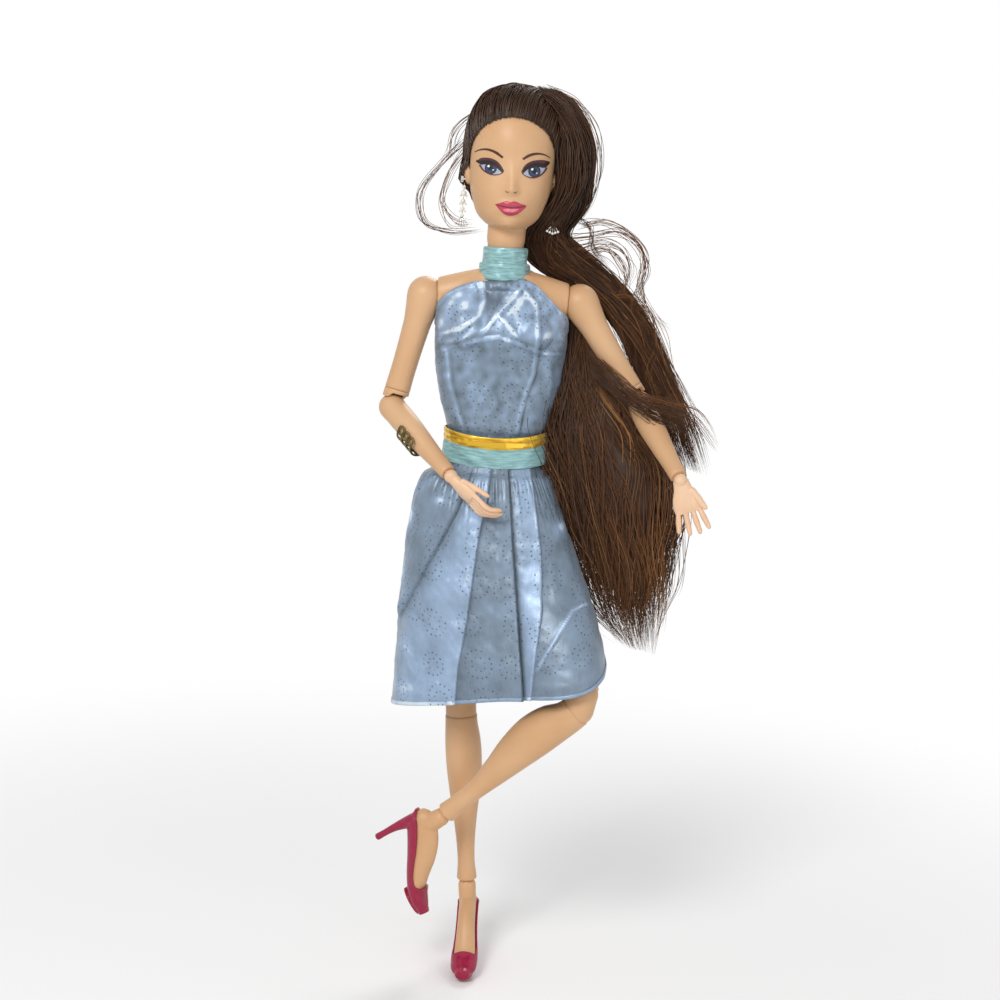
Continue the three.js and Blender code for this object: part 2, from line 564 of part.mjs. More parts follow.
const lockShare = [
  [0.02, 1.2, -0.02, 0.1, 0.1], [0.1, 0.8, 0.04, 0.3, 0.24], [0.36, 0.1, 0.12, 0.76, 0.4],
  [0.62, -0.1, 0.22, 1.1, 0.44], [0.68, -0.1, 0.34, 1.04, 0.4], [0.62, 0.1, 0.48, 0.92, 0.36],
  [0.66, 0.4, 0.62, 0.8, 0.32], [0.78, 0.7, 0.76, 0.62, 0.28], [0.88, 0.8, 0.9, 0.42, 0.22],
  [0.98, 0.9, 1, 0.16, 0.12],
];

function hairBody(size, rowsShare) {
  const start = new THREE.Vector3(size.startX, size.startY, size.startZ);
  const along = new THREE.Vector3(size.reachX, size.reachY, -size.reachZ);
  const stations = rowsShare.map(([x, y, z, width, depth]) => ({
    at: new THREE.Vector3(x, y, z).multiply(along).add(start),
    u: new THREE.Vector3(width * size.halfWidth, 0, 0),
    v: new THREE.Vector3(0, depth * size.halfWidth, 0),
  }));
  return solidOf(loft(stations, limbSides));
}

function tilted(solid) {
  const turn = new THREE.Matrix4().makeRotationY(radians(headSize.tiltAngle));
  const back = new THREE.Matrix4().makeTranslation(0, -torso.neckBack, -neckJoint.pivotHeight);
  const away = new THREE.Matrix4().makeTranslation(0, torso.neckBack, neckJoint.pivotHeight);
  return solid.transform(away.multiply(turn).multiply(back).elements);
}

function makeHairFall() {
  const { dropLength, dropRadius } = earring;
  const dropRoom = postZ(
    dropRadius + 3 * gap, earHeight - dropLength - overrun / 2, earHeight + overrun / 2, dropX, earY,
  );
  return cut(hairBody(fallSize, fallShare), tilted(headBody(hair.capThickness + gap)), tilted(dropRoom));
}

// The front lock parts around the left arm, whose places are given by its frames
function makeHairLock(upperArmFrame, forearmFrame) {
  const forearmRoom = join(forearmBody(2 * gap), ball(arm.elbowRadius + 2 * gap));
  const cupRoom = postZ(arm.elbowCupRadius + 2 * gap, -arm.upperLength, elbowCupTop(), 0, 0, limbSides);
  const upperRoom = join(upperArmBody(2 * gap), cupRoom);
  return cut(
    hairBody(lockSize, lockShare), upperRoom.transform(upperArmFrame.elements),
    forearmRoom.transform(forearmFrame.elements),
  );
}

// Clothes: shells grown from the body under them
function halterOutline(grow) {
  const { bodiceBottom, bodiceTop, halterHalfTop, halterHalfBust, halterBustHeight, underarmHeight } = cloth;
  const wide = cloth.halterHalfBust + overrun;
  const half = [
    [halterHalfTop + grow, bodiceTop + grow], [halterHalfBust + grow, halterBustHeight],
    [cloth.underarmHalf + grow, underarmHeight], [wide, underarmHeight - overrun],
    [wide, bodiceBottom - grow],
  ];
  const outline = new THREE.Shape();
  outline.moveTo(-half[0][0], half[0][1]);
  half.forEach(([x, z]) => outline.lineTo(x, z));
  half.slice(1).reverse().forEach(([x, z]) => outline.lineTo(-x, z));
  const depth = 2 * (torso.chestHalfDepth + torso.bustRadius + overrun);
  const shape = new THREE.ExtrudeGeometry(outline, { depth, bevelEnabled: false });
  return solidOf(shape.rotateX(Math.PI / 2).translate(0, depth / 2, 0));
}

function makeBodice() {
  const outer = join(chestSolid(cloth.bodiceOuter), yokeSolid(cloth.bodiceOuter));
  const inner = join(chestSolid(cloth.bodiceInner), yokeSolid(cloth.bodiceInner), neckSolid(gap));
  const skirtSide = block(-beyond, beyond, -beyond, beyond, cloth.bodiceBottom - overrun, torso.chestBottom);
  const [, ...waistShare] = chestShare[0];
  const waistRing = (low, high, grow) => stackedBody(
    [[0, ...waistShare], [1, ...waistShare]], low, high, torso.chestHalfWidth, torso.chestHalfDepth,
    torso.chestHalfDepth, grow,
  );
  const band = waistRing(cloth.bodiceBottom, torso.chestBottom + gap, cloth.bodiceOuter);
  const hole = waistRing(cloth.bodiceBottom - gap, torso.chestBottom + 2 * gap, cloth.bodiceInner);
  const shell = join(cut(outer, skirtSide), band);
  const shaped = common(shell, halterOutline(0));
  return largest(cut(shaped, inner, hole, ...shoulderSockets(arm.ballRadius + 2 * gap)));
}

function makeCollar() {
  const { collarBottom, collarTop, collarInner, collarOuter } = cloth;
  const middle = (collarBottom + collarTop) / 2;
  const fold = collarOuter - collarInner;
  const outline = [
    [collarInner + fold / 3, collarBottom], [collarOuter + fold / 2, collarBottom],
    [collarOuter + fold / 3, middle],
    [collarOuter, middle + fold / 3], [collarOuter, collarTop], [collarInner, collarTop],
    [collarInner + fold / 3, collarBottom],
  ].map(([radius, height]) => new THREE.Vector2(radius, height));
  const ring = new THREE.LatheGeometry(outline, torsoSides).rotateX(Math.PI / 2);
  ring.translate(0, torso.neckBack, 0);
  const body = solidOf(ring);
  return cut(body, chestSolid(gap), yokeSolid(gap), neckSolid(gap), chestSolid(cloth.bodiceOuter + gap));
}

function ovalRing(bottom, top, halfBottom, halfTop, thickness) {
  const rows = [[bottom, halfBottom, -1], [top, halfTop, 1]];
  const wall = (extra, endMargin) => solidOf(loft(rows.map(([height, half, way]) => ({
    at: new THREE.Vector3(0, 0, height + way * endMargin),
    u: new THREE.Vector3(half + extra, 0, 0),
    v: new THREE.Vector3(0, half * cloth.bandDepthShare + extra, 0),
  })), torsoSides * 2));
  return cut(wall(thickness, 0), wall(0, gap));
}

function makeWaistband() {
  const { bandBottom, bandTop, bandInnerBottom, bandInnerTop, bandThickness } = cloth;
  return ovalRing(bandBottom, bandTop, bandInnerBottom, bandInnerTop, bandThickness);
}

function beltRadius() {
  return cloth.bandInnerTop + cloth.bandThickness + cloth.beltGap + gap;
}

function makeBelt() {
  return ovalRing(cloth.beltBottom, cloth.beltTop, beltRadius(), beltRadius(), cloth.beltThickness);
}

function makeBeltBar() {
  const { barHalfWidth, barHalfHeight, barThickness, beltThickness, beltBottom, beltTop } = cloth;
  const middle = (beltBottom + beltTop) / 2;
  const inner = beltRadius() + beltThickness + gap;
  const ring = ovalRing(middle - barHalfHeight, middle + barHalfHeight, inner, inner, barThickness);
  return common(ring, block(-barHalfWidth, barHalfWidth, -beyond, 0, beltBottom, beltTop));
}

function makeClosure() {
  const { closureHalfWidth, closureBottom, closureTop, closureThickness, bodiceOuter } = cloth;
  const shell = cut(chestSolid(bodiceOuter + gap + closureThickness), chestSolid(bodiceOuter + gap));
  return common(shell, block(-closureHalfWidth, closureHalfWidth, 0, beyond, closureBottom, closureTop));
}

// Skirt: a pleated shell whose front corner is lifted by the raised left knee
function skirtPoint(angle, down, inset) {
  const { top, waistHalfWidth, waistHalfDepth, hemHalfWidth, hemHalfDepth, hemShiftX, hemShiftY } = skirt;
  const rightness = (1 - Math.cos(angle)) / 2;
  const spread = Math.pow(down, flareShare.left + (flareShare.right - flareShare.left) * rightness);
  const hemLow = skirt.hemRight * rightness + skirt.hemLeft * (1 - rightness);
  const frontShare = Math.max(0, -Math.sin(angle)) * foldShare.front;
  const hem = hemLow * (1 - frontShare) + skirt.hemFront * frontShare;
  const ease = down * down * (3 - 2 * down);
  const turn = Math.atan2(Math.sin(angle - kneeShare.angle), Math.cos(angle - kneeShare.angle));
  const knee = skirt.kneeReach * Math.exp(-turn * turn / kneeShare.spread) * ease;
  const wave = Math.sin(foldWaves.first * angle + foldWaves.firstTurn)
    + foldShare.second * Math.sin(foldWaves.second * angle + foldWaves.secondTurn)
    + foldShare.third * Math.sin(foldWaves.third * angle);
  const fold = skirt.foldDepth * wave * (foldShare.atWaist + (1 - foldShare.atWaist) * down);
  const halfWidth = waistHalfWidth + (hemHalfWidth - waistHalfWidth) * spread;
  const halfDepth = waistHalfDepth + (hemHalfDepth - waistHalfDepth) * spread;
  const out = knee + fold - inset;
  return new THREE.Vector3(
    hemShiftX * down + (halfWidth + out) * Math.cos(angle),
    hemShiftY * down + (halfDepth + out) * Math.sin(angle),
    top + (hem - top) * down,
  );
}

function makeSkirt() {
  const sides = skirtSides;
  const levelShare = [0, 0.05, 0.14, 0.3, 0.52, 0.76, 1];
  const profile = [
    ...levelShare.map((down) => [down, 0]),
    ...levelShare.slice().reverse().map((down) => [down, skirt.thickness]),
  ];
  const points = [];
  const faces = [];
  profile.forEach(([down, inset]) => {
    for (let side = 0; side < sides; side += 1) {
      points.push(skirtPoint(2 * Math.PI * side / sides, down, inset));
    }
  });
  profile.forEach((row, level) => {
    const from = level * sides;
    const to = ((level + 1) % profile.length) * sides;
    for (let side = 0; side < sides; side += 1) {
      const next = (side + 1) % sides;
      faces.push(from + side, to + side, from + next, from + next, to + side, to + next);
    }
  });
  const geometry = new THREE.BufferGeometry();
  geometry.setAttribute('position', new THREE.Float32BufferAttribute(points.flatMap((p) => p.toArray()), 3));
  geometry.setIndex(faces);
  return solidOf(geometry);
}

// Arm pieces, each in its own frame with the joint above it at the origin and the limb along -Z
const upperArmShare = [
  [0, 1, 0.96], [0.12, 1, 0.98], [0.3, 0.92, 0.94], [0.5, 0.86, 0.86], [0.7, 0.84, 0.8], [0.85, 0.86, 0.8],
];
const forearmShare = [
  [0, 1, 1], [0.14, 1.02, 1.02], [0.32, 1, 0.98], [0.55, 0.86, 0.84], [0.78, 0.7, 0.68], [0.92, 0.64, 0.62],
];

function makeShoulderHub(side) {
  const { hubStemRadius, hubStemLength, hubBarrelRadius, hubBarrelHalf } = arm;
  const ends = [-side * hubStemLength, 0].sort((a, b) => a - b);
  return join(barX(hubStemRadius, ends[0], ends[1]), barY(hubBarrelRadius, -hubBarrelHalf, hubBarrelHalf));
}

function elbowCupTop() {
  return arm.elbowCupTop - arm.upperLength;
}

function upperArmBody(grow) {
  const lastShare = upperArmShare[upperArmShare.length - 1][0];
  const rows = upperArmShare.map(([along, ...rest]) => [along / lastShare, ...rest]);
  return limbBody(rows, -elbowCupTop() - gap, arm.upperHalfWidth, arm.upperHalfDepth, grow);
}

function makeUpperArm(side) {
  const { ballRadius } = arm;
  const end = -elbowCupTop() - gap;
  const body = upperArmBody(0);
  const stem = arm.hubStemRadius + gap;
  const [low, high] = sideAngles(side, reach.raiseLowAngle, reach.raiseHighAngle);
  const slot = fan(planeXZ, low, high, 2 * ballRadius, stem, stem);
  const barrel = barY(arm.hubBarrelRadius + gap, -arm.hubBarrelHalf - gap, arm.hubBarrelHalf + gap);
  const bore = postZ(arm.elbowPegRadius + gap, -end - gap, -end + arm.elbowPegLength);
  return cut(join(body, ball(ballRadius, 0, 0, 0, limbSides, ballRings)), slot, barrel, bore);
}

function makeElbowHub() {
  const { elbowCupRadius, elbowCupBottom, elbowCupTop, elbowRadius, tongueHalf, tongueRadius } = arm;
  const cup = postZ(elbowCupRadius, elbowCupBottom, elbowCupTop, 0, 0, limbSides);
  const relief = block(-overrun, overrun, -overrun, arm.elbowReliefY, 0, arm.elbowReliefTop);
  const hollow = ball(elbowRadius + gap);
  const peg = postZ(arm.elbowPegRadius, elbowCupTop - gap, elbowCupTop + arm.elbowPegLength);
  const plate = block(-tongueHalf, tongueHalf, -tongueRadius, tongueRadius, 0, elbowCupTop - gap);
  const eye = barX(tongueRadius, -tongueHalf, tongueHalf);
  const hole = barX(arm.pinRadius + gap, -elbowRadius, elbowRadius);
  return cut(join(cut(cup, relief, hollow), peg, plate, eye), hole);
}

function makeElbowPin() {
  return barX(arm.pinRadius, -arm.pinHalf, arm.pinHalf);
}

function forearmBody(grow) {
  const lastShare = forearmShare[forearmShare.length - 1][0];
  const rows = forearmShare.map(([along, ...rest]) => [along / lastShare, ...rest]);
  return limbBody(rows, arm.lowerLength - arm.wristBack, arm.lowerHalfWidth, arm.lowerHalfDepth, grow);
}

function makeForearm() {
  const { lowerLength, elbowRadius, tongueHalf, tongueRadius, wristRadius } = arm;
  const body = forearmBody(0);
  const slot = fan(
    planeYZ, 90 - reach.elbowLowAngle, 90 + reach.elbowHighAngle, 2 * elbowRadius, tongueHalf + gap,
    tongueRadius + gap,
  );
  const socket = barX(tongueRadius + gap, -tongueHalf - gap, tongueHalf + gap);
  const holes = barX(arm.pinRadius + gap, -arm.pinHalf - gap, arm.pinHalf + gap);
  const wristSocket = ball(wristRadius + gap, 0, 0, -lowerLength);
  const bore = postZ(arm.wristStemRadius + gap, -lowerLength, -lowerLength + arm.wristStemLength + gap);
  const whole = join(body, ball(elbowRadius, 0, 0, 0, limbSides, ballRings));
  return cut(whole, slot, socket, holes, wristSocket, bore);
}

function makeWristPeg() {
  const stem = postZ(arm.wristStemRadius, 0, arm.wristStemLength);
  return join(stem, barX(arm.wristBarrelRadius, -arm.wristBarrelHalf, arm.wristBarrelHalf));
}

// Hand: the thumb at +X times side, the palm towards -Y
const fingerShare = [
  { across: -0.78, length: 0.8, splay: -13 }, { across: -0.27, length: 0.96, splay: -4 },
  { across: 0.24, length: 1, splay: 3 }, { across: 0.74, length: 0.92, splay: 10 },
];
const fingerRowsShare = [[-0.12, 0.9], [0.4, 1.02], [0.85, 0.8], [1, 0.36]];
const palmShare = [
  [0, 0.56, 0.9], [0.25, 0.66, 1], [0.55, 0.94, 1], [0.85, 1.04, 0.9], [1.02, 0.98, 0.62],
];

function finger(length, radius, x, y, z, splay, curl) {
  const rows = fingerRowsShare.map(([along, size]) => [along, size, size]);
  const body = limbBody(rows, length, radius, radius, 0, fingerSides);
  const turn = new THREE.Euler(radians(-curl), radians(-splay), 0, 'YXZ');
  const bend = new THREE.Matrix4().makeRotationFromEuler(turn).setPosition(x, y, z);
  return body.transform(bend.elements);
}

function makeHand(side, { handDeviationAngle, fingerCurlAngle, fingerSpreadAngle }) {
  const { palmLength, palmHalfWidth, palmHalfDepth, fingerLength, fingerRadius } = hand;
  let body = limbBody(palmShare, palmLength, palmHalfWidth, palmHalfDepth);
  fingerShare.forEach(({ across, length, splay }) => {
    const x = side * across * palmHalfWidth;
    const turnOut = side * splay * fingerSpreadAngle;
    body = join(body, finger(length * fingerLength, fingerRadius, x, 0, -palmLength, turnOut, fingerCurlAngle));
  });
  const thumbRoot = [side * palmHalfWidth / 2, -palmHalfDepth / 3, -palmLength / 3];
  const thumbTurns = [side * hand.thumbSplayAngle, fingerCurlAngle + hand.thumbCurlAngle];
  body = join(body, finger(hand.thumbLength, hand.thumbRadius, ...thumbRoot, ...thumbTurns));
  const turned = new THREE.Matrix4().makeRotationY(radians(handDeviationAngle));
  body = join(body.transform(turned.elements), ball(arm.wristRadius));
  const stem = arm.wristStemRadius + gap;
  const slot = fan(planeYZ, 90 - reach.wristAngle, 90 + reach.wristAngle, 2 * arm.wristRadius, stem, stem);
  const barrel = barX(arm.wristBarrelRadius + gap, -arm.wristBarrelHalf - gap, arm.wristBarrelHalf + gap);
  return cut(body, slot, barrel);
}

function makeBracelet() {
  const { innerRadius, thickness, width } = bracelet;
  const outer = innerRadius + thickness;
  const outline = [
    [innerRadius, -width / 2], [outer, -width / 2], [outer + thickness / 3, 0], [outer, width / 2],
    [innerRadius, width / 2], [innerRadius, -width / 2],
  ].map(([radius, height]) => new THREE.Vector2(radius, height));
  return solidOf(new THREE.LatheGeometry(outline, torsoSides).rotateX(Math.PI / 2));
}

// Leg pieces, in frames like the arms'
const thighShare = [
  [0, 1.02, 0.98, 0, 0], [0.12, 1.03, 1, 0, 0], [0.25, 0.98, 0.98, 0, 0], [0.45, 0.88, 0.88, 0, -0.02],
  [0.65, 0.77, 0.78, 0, -0.03], [0.82, 0.69, 0.69, 0, -0.02], [0.94, 0.68, 0.66, 0, 0], [1, 0.68, 0.64, 0, 0],
];
const shinShare = [
  [0, 0.88, 0.84, 0, 0], [0.06, 0.9, 0.86, 0, 0], [0.16, 0.97, 0.98, 0, 0.1], [0.3, 1, 1.02, 0, 0.16],
  [0.46, 0.88, 0.9, 0, 0.14], [0.62, 0.68, 0.68, 0, 0.08], [0.78, 0.52, 0.52, 0, 0.02],
  [0.9, 0.48, 0.48, 0, 0], [1, 0.56, 0.54, 0, 0],
];

function makeHipHub(side) {
  const { hipX, hubStemRadius, hubStemStart, hubBarrelRadius, hubBarrelHalf } = leg;
  const ends = [-side * (hipX - hubStemStart), 0].sort((a, b) => a - b);
  return join(barX(hubStemRadius, ends[0], ends[1]), barY(hubBarrelRadius, -hubBarrelHalf, hubBarrelHalf));
}

function thighBody() {
  const { thighLength, thighHalfWidth, thighHalfDepth, kneeLink } = leg;
  return limbBody(thighShare, thighLength - kneeLink / 2, thighHalfWidth, thighHalfDepth);
}

function makeThighCap(side) {
  const { ballRadius, capLength, hubStemRadius, hubBarrelRadius, hubBarrelHalf } = leg;
  const { turnPegRadius, turnPegLength } = leg;
  const top = common(thighBody(), block(-beyond, beyond, -beyond, beyond, -capLength, ballRadius));
  const stem = hubStemRadius + gap;
  const [low, high] = sideAngles(side, reach.spreadLowAngle, reach.spreadHighAngle);
  const slot = fan(planeXZ, low, high, 2 * ballRadius, stem, stem);
  const barrel = barY(hubBarrelRadius + gap, -hubBarrelHalf - gap, hubBarrelHalf + gap);
  const bore = postZ(turnPegRadius + gap, -capLength - gap, -capLength + turnPegLength + gap);
  return cut(join(top, ball(ballRadius, 0, 0, 0, ballSides + 2, ballRings + 2)), slot, barrel, bore);
}

function makeThigh() {
  const { thighLength, capLength, turnPegRadius, turnPegLength } = leg;
  const { kneeLink, kneeRadius, tabHalf, tabRadius } = leg;
  const pivot = kneeLink / 2 - thighLength;
  const reachable = block(-beyond, beyond, -beyond, beyond, pivot + leg.kneeRimFront, -capLength - gap);
  const lower = common(thighBody(), reachable);
  const relief = block(-beyond, beyond, leg.kneeReliefY, beyond, pivot - kneeRadius, pivot + leg.kneeRimBack);
  const shell = cut(lower, ball(kneeRadius + gap, 0, 0, pivot), relief);
  const peg = postZ(turnPegRadius, -capLength - 2 * gap, -capLength + turnPegLength);
  const plate = block(-tabHalf, tabHalf, -tabRadius, tabRadius, pivot, pivot + kneeRadius + 2 * gap);
  const eye = barX(tabRadius, -tabHalf, tabHalf, 0, pivot);
  return cut(join(shell, peg, plate, eye), barX(leg.pinRadius + gap, -kneeRadius, kneeRadius, 0, pivot));
}

// Knee link in the frame of its upper pin
function makeKneeLink() {
  const { kneeLink, kneeRadius, tabHalf, tabRadius, pinRadius, pinHalf } = leg;
  const profileShare = [[0, 0], [0.5, 0.134], [0.866, 0.5], [1, 1]];
  const upper = profileShare.map(([out, down]) => [out, kneeRadius * (1 - down)]);
  const stations = [
    ...upper.map(([out, height]) => [out, height]),
    ...upper.slice().reverse().map(([out, height]) => [out, -kneeLink - height]),
  ].slice(1, -1).map(([out, height]) => ({
    at: new THREE.Vector3(0, 0, height),
    u: new THREE.Vector3(out * kneeRadius, 0, 0),
    v: new THREE.Vector3(0, out * kneeRadius, 0),
  }));
  stations[0].pole = new THREE.Vector3(0, 0, kneeRadius);
  stations[stations.length - 1].pole = new THREE.Vector3(0, 0, -kneeLink - kneeRadius);
  const body = solidOf(loft(stations, limbSides));
  const half = tabHalf + gap;
  const bar = tabRadius + gap;
  const top = fan(planeYZ, 90 - reach.kneeHighAngle, 90 - reach.kneeLowAngle, 2 * kneeRadius, half, bar);
  const bottom = fan(
    planeYZ, -90 + reach.kneeLowAngle, -90 + reach.kneeHighAngle, 2 * kneeRadius, half, bar, 0, 0, -kneeLink,
  );
  const eyes = [0, -kneeLink].map((z) => barX(bar, -half, half, 0, z));
  const holes = [0, -kneeLink].map((z) => barX(pinRadius + gap, -pinHalf - gap, pinHalf + gap, 0, z));
  return cut(body, top, bottom, ...eyes, ...holes);
}

function makeKneePin() {
  return barX(leg.pinRadius, -leg.pinHalf, leg.pinHalf);
}

// Shin in the frame of the knee's lower pin
function makeShin() {
  const { shinLength, kneeLink, kneeRadius, tabHalf, tabRadius, ankleRadius } = leg;
  const length = shinLength - kneeLink / 2;
  const body = limbBody(shinShare, length - leg.ankleBack, leg.shinHalfWidth, leg.shinHalfDepth);
  const below = block(-beyond, beyond, -beyond, beyond, -length - beyond, -leg.kneeRimFront);
  const relief = block(-beyond, beyond, leg.kneeReliefY, beyond, -leg.kneeRimBack, kneeRadius);
  const shell = cut(common(body, below), ball(kneeRadius + gap), relief);
  const plate = block(-tabHalf, tabHalf, -tabRadius, tabRadius, -kneeRadius - 2 * gap, 0);
  const eye = barX(tabRadius, -tabHalf, tabHalf);
  const holes = barX(leg.pinRadius + gap, -kneeRadius, kneeRadius);
  const socket = ball(ankleRadius + gap, 0, 0, -length);
  const bore = postZ(leg.ankleStemRadius + gap, -length, -length + leg.ankleStemLength + gap);
  return cut(join(shell, plate, eye), holes, socket, bore);
}

function makeAnklePeg() {
  const stem = postZ(leg.ankleStemRadius, 0, leg.ankleStemLength);
  return join(stem, barX(leg.ankleBarrelRadius, -leg.ankleBarrelHalf, leg.ankleBarrelHalf));
}

// Foot in the frame of the ankle, toes towards -Y: shares of length forward, drop, half width and half height
const footShare = [
  [-0.19, 0.3, 0.3, 0.06], [-0.16, 0.28, 0.62, 0.13], [-0.04, 0.3, 0.78, 0.2], [0.12, 0.38, 0.8, 0.22],
  [0.3, 0.53, 0.84, 0.2], [0.48, 0.72, 0.94, 0.15], [0.66, 0.87, 1.02, 0.1], [0.82, 0.93, 0.82, 0.06],
  [0.9, 0.945, 0.4, 0.035],
];
const instepShare = [[0, 1, 1], [0.5, 0.98, 1.1], [1, 0.9, 1.3]];

function footBody(grow) {
  const { length, soleDrop, halfWidth } = foot;
  const stations = footShare.map(([forward, drop, width, height], row) => {
    const ahead = footShare[Math.min(row + 1, footShare.length - 1)];
    const behind = footShare[Math.max(row - 1, 0)];
    const along = new THREE.Vector3(0, -(ahead[0] - behind[0]) * length, -(ahead[1] - behind[1]) * soleDrop);
    const up = new THREE.Vector3(0, along.z, -along.y).normalize();
    const end = row === 0 ? -grow : row === footShare.length - 1 ? grow : 0;
    return {
      at: new THREE.Vector3(0, -forward * length, -drop * soleDrop).addScaledVector(along.normalize(), end),
      u: new THREE.Vector3(width * halfWidth + grow, 0, 0),
      v: up.multiplyScalar(height * soleDrop + grow),
    };
  });
  return solidOf(loft(stations, limbSides));
}

function makeFoot() {
  const { ankleRadius, ankleStemRadius, ankleBarrelRadius, ankleBarrelHalf } = leg;
  const instep = limbBody(instepShare, foot.soleDrop / 3, ankleRadius, ankleRadius);
  const stem = ankleStemRadius + gap;
  const slot = fan(planeYZ, 90 - reach.ankleAngle, 90 + reach.ankleAngle, 2 * ankleRadius, stem, stem);
  const barrel = barX(ankleBarrelRadius + gap, -ankleBarrelHalf - gap, ankleBarrelHalf + gap);
  return cut(join(footBody(0), instep, ball(ankleRadius, 0, 0, 0, limbSides, ballRings)), slot, barrel);
}

function makeShoe() {
  const { shoeWall, soleDrop, soleFlat, length, openingFront } = foot;
  const { heelY, heelTop, heelTopRadius, heelTipRadius } = foot;
  const outer = footBody(shoeWall + gap);
  const opening = new THREE.Shape([
    new THREE.Vector2(-openingFront, -soleDrop * soleShare.vamp), new THREE.Vector2(-openingFront, overrun),
    new THREE.Vector2(length, overrun), new THREE.Vector2(length, heelTop + foot.counterRise),
    new THREE.Vector2(foot.heelBack, heelTop + foot.counterRise), new THREE.Vector2(0, heelTop - shoeWall),
  ]);
  const depth = 2 * length;
  const openTool = new THREE.ExtrudeGeometry(opening, { depth, bevelEnabled: false });
  openTool.applyMatrix4(new THREE.Matrix4().makeBasis(planeYZ[0], planeYZ[1], new THREE.Vector3(1, 0, 0)));
  openTool.translate(-depth / 2, 0, 0);
  const ground = -soleDrop - soleFlat;
  const heelHeight = heelTop - ground;
  const heel = new THREE.CylinderGeometry(heelTopRadius, heelTipRadius, heelHeight, pinSides);
  heel.rotateX(Math.PI / 2).translate(0, heelY, ground + heelHeight / 2);
  const soleHalf = foot.halfWidth * soleShare.width;
  const sole = block(
    -soleHalf, soleHalf, -length * soleShare.front, -length * soleShare.back, ground, ground + 2 * soleFlat,
  );
  const shell = join(cut(outer, solidOf(openTool)), solidOf(heel), sole);
  const under = block(-beyond, beyond, -beyond, beyond, ground - overrun, ground);
  return cut(shell, footBody(gap), makeInstepRoom(), under);
}

function makeInstepRoom() {
  const { ankleRadius } = leg;
  return limbBody(instepShare, foot.soleDrop / 3 + gap, ankleRadius, ankleRadius, gap);
}

// Earrings, in the head's frame: a stud with an eye, and a drop of beads that hangs from it
function makeStud(side) {
  const { studRadius, studThickness, postRadius, postLength } = earring;
  const faces = [side * (earX + gap), side * (earX + gap + studThickness)].sort((a, b) => a - b);
  const ends = [side * (earX - postLength), side * (earX + 2 * gap)].sort((a, b) => a - b);
  const disc = barX(studRadius, faces[0], faces[1], earY, earHeight, ballSides);
  return join(disc, barX(postRadius, ends[0], ends[1], earY, earHeight));
}

const beadShare = { first: 0.65 };

function makeDrop(side) {
  const { dropLength, dropRadius, beadCount, linkRadius, studRadius } = earring;
  const x = side * dropX;
  const top = earHeight - studRadius - gap;
  const pitch = dropLength / beadCount;
  let body = postZ(linkRadius, top - dropLength, top, x, earY, beadSides);
  for (let bead = 0; bead < beadCount; bead += 1) {
    const size = dropRadius * (beadShare.first + (1 - beadShare.first) * bead / (beadCount - 1));
    body = join(body, ball(size, x, earY, top - (bead + 0.5) * pitch, beadSides, beadRings));
  }
  return body;
}

// The scene graph follows the joints: each group turns about the joint at its origin
function at(parent, x, y, z, turn = {}) {
  const group = new THREE.Group();
  group.position.set(x, y, z);
  group.rotation.set(radians(turn.x ?? 0), radians(turn.y ?? 0), radians(turn.z ?? 0));
  parent.add(group);
  return group;
}

const doll = new THREE.Group();
doll.add(meshOf('upper_torso', makeUpperTorso(), skinMaterial));
doll.add(meshOf('lower_torso', makeLowerTorso(), skinMaterial));
doll.add(meshOf('waist_pivot', makeWaistPivot(), innerMaterial));
doll.add(meshOf('bodice', makeBodice(), satinMaterial));
doll.add(meshOf('bodice_closure', makeClosure(), satinMaterial));
doll.add(meshOf('collar', makeCollar(), tealMaterial));
doll.add(meshOf('waistband', makeWaistband(), tealMaterial));
doll.add(meshOf('belt', makeBelt(), goldMaterial));
doll.add(meshOf('belt_bar', makeBeltBar(), goldMaterial));
doll.add(meshOf('skirt', makeSkirt(), satinMaterial));
doll.add(meshOf('neck_knob', makeNeckKnob(), innerMaterial));

const headGroup = at(doll, 0, torso.neckBack, neckJoint.pivotHeight, { y: headSize.tiltAngle });
const headPieces = at(headGroup, 0, -torso.neckBack, -neckJoint.pivotHeight);
headPieces.add(meshOf('neck_plug', makeNeckPlug(), innerMaterial));
headPieces.add(meshOf('head', makeHead(), skinMaterial));
headPieces.add(meshOf('hair_cap', makeHairCap(), hairMaterial));
doll.add(meshOf('hair_fall', makeHairFall(), hairMaterial));

function addArm(name, side, angles) {
  headPieces.add(meshOf(`${name}_ear_stud`, makeStud(side), silverMaterial));
  headPieces.add(meshOf(`${name}_ear_drop`, makeDrop(side), silverMaterial));
  const swing = at(doll, side * arm.shoulderX, arm.shoulderY, arm.shoulderZ, { x: angles.armSwingAngle });
  swing.add(meshOf(`${name}_shoulder_hub`, makeShoulderHub(side), innerMaterial));
  const raise = at(swing, 0, 0, 0, { y: angles.armRaiseAngle });
  raise.add(meshOf(`${name}_upper_arm`, makeUpperArm(side), skinMaterial));
  const elbow = at(raise, 0, 0, -arm.upperLength, { z: angles.elbowTurnAngle });
  elbow.add(meshOf(`${name}_elbow_hub`, makeElbowHub(), skinMaterial));
  const bend = at(elbow, 0, 0, 0, { x: -angles.elbowBendAngle });
  bend.add(meshOf(`${name}_elbow_pin`, makeElbowPin(), innerMaterial));
  bend.add(meshOf(`${name}_forearm`, makeForearm(), skinMaterial));
  const wrist = at(bend, 0, 0, -arm.lowerLength, { z: angles.wristTurnAngle });
  wrist.add(meshOf(`${name}_wrist_peg`, makeWristPeg(), innerMaterial));
  const palm = at(wrist, 0, 0, 0, { x: angles.wristBendAngle });
  palm.add(meshOf(`${name}_hand`, makeHand(side, angles), handMaterial));
  return { raise, bend };
}

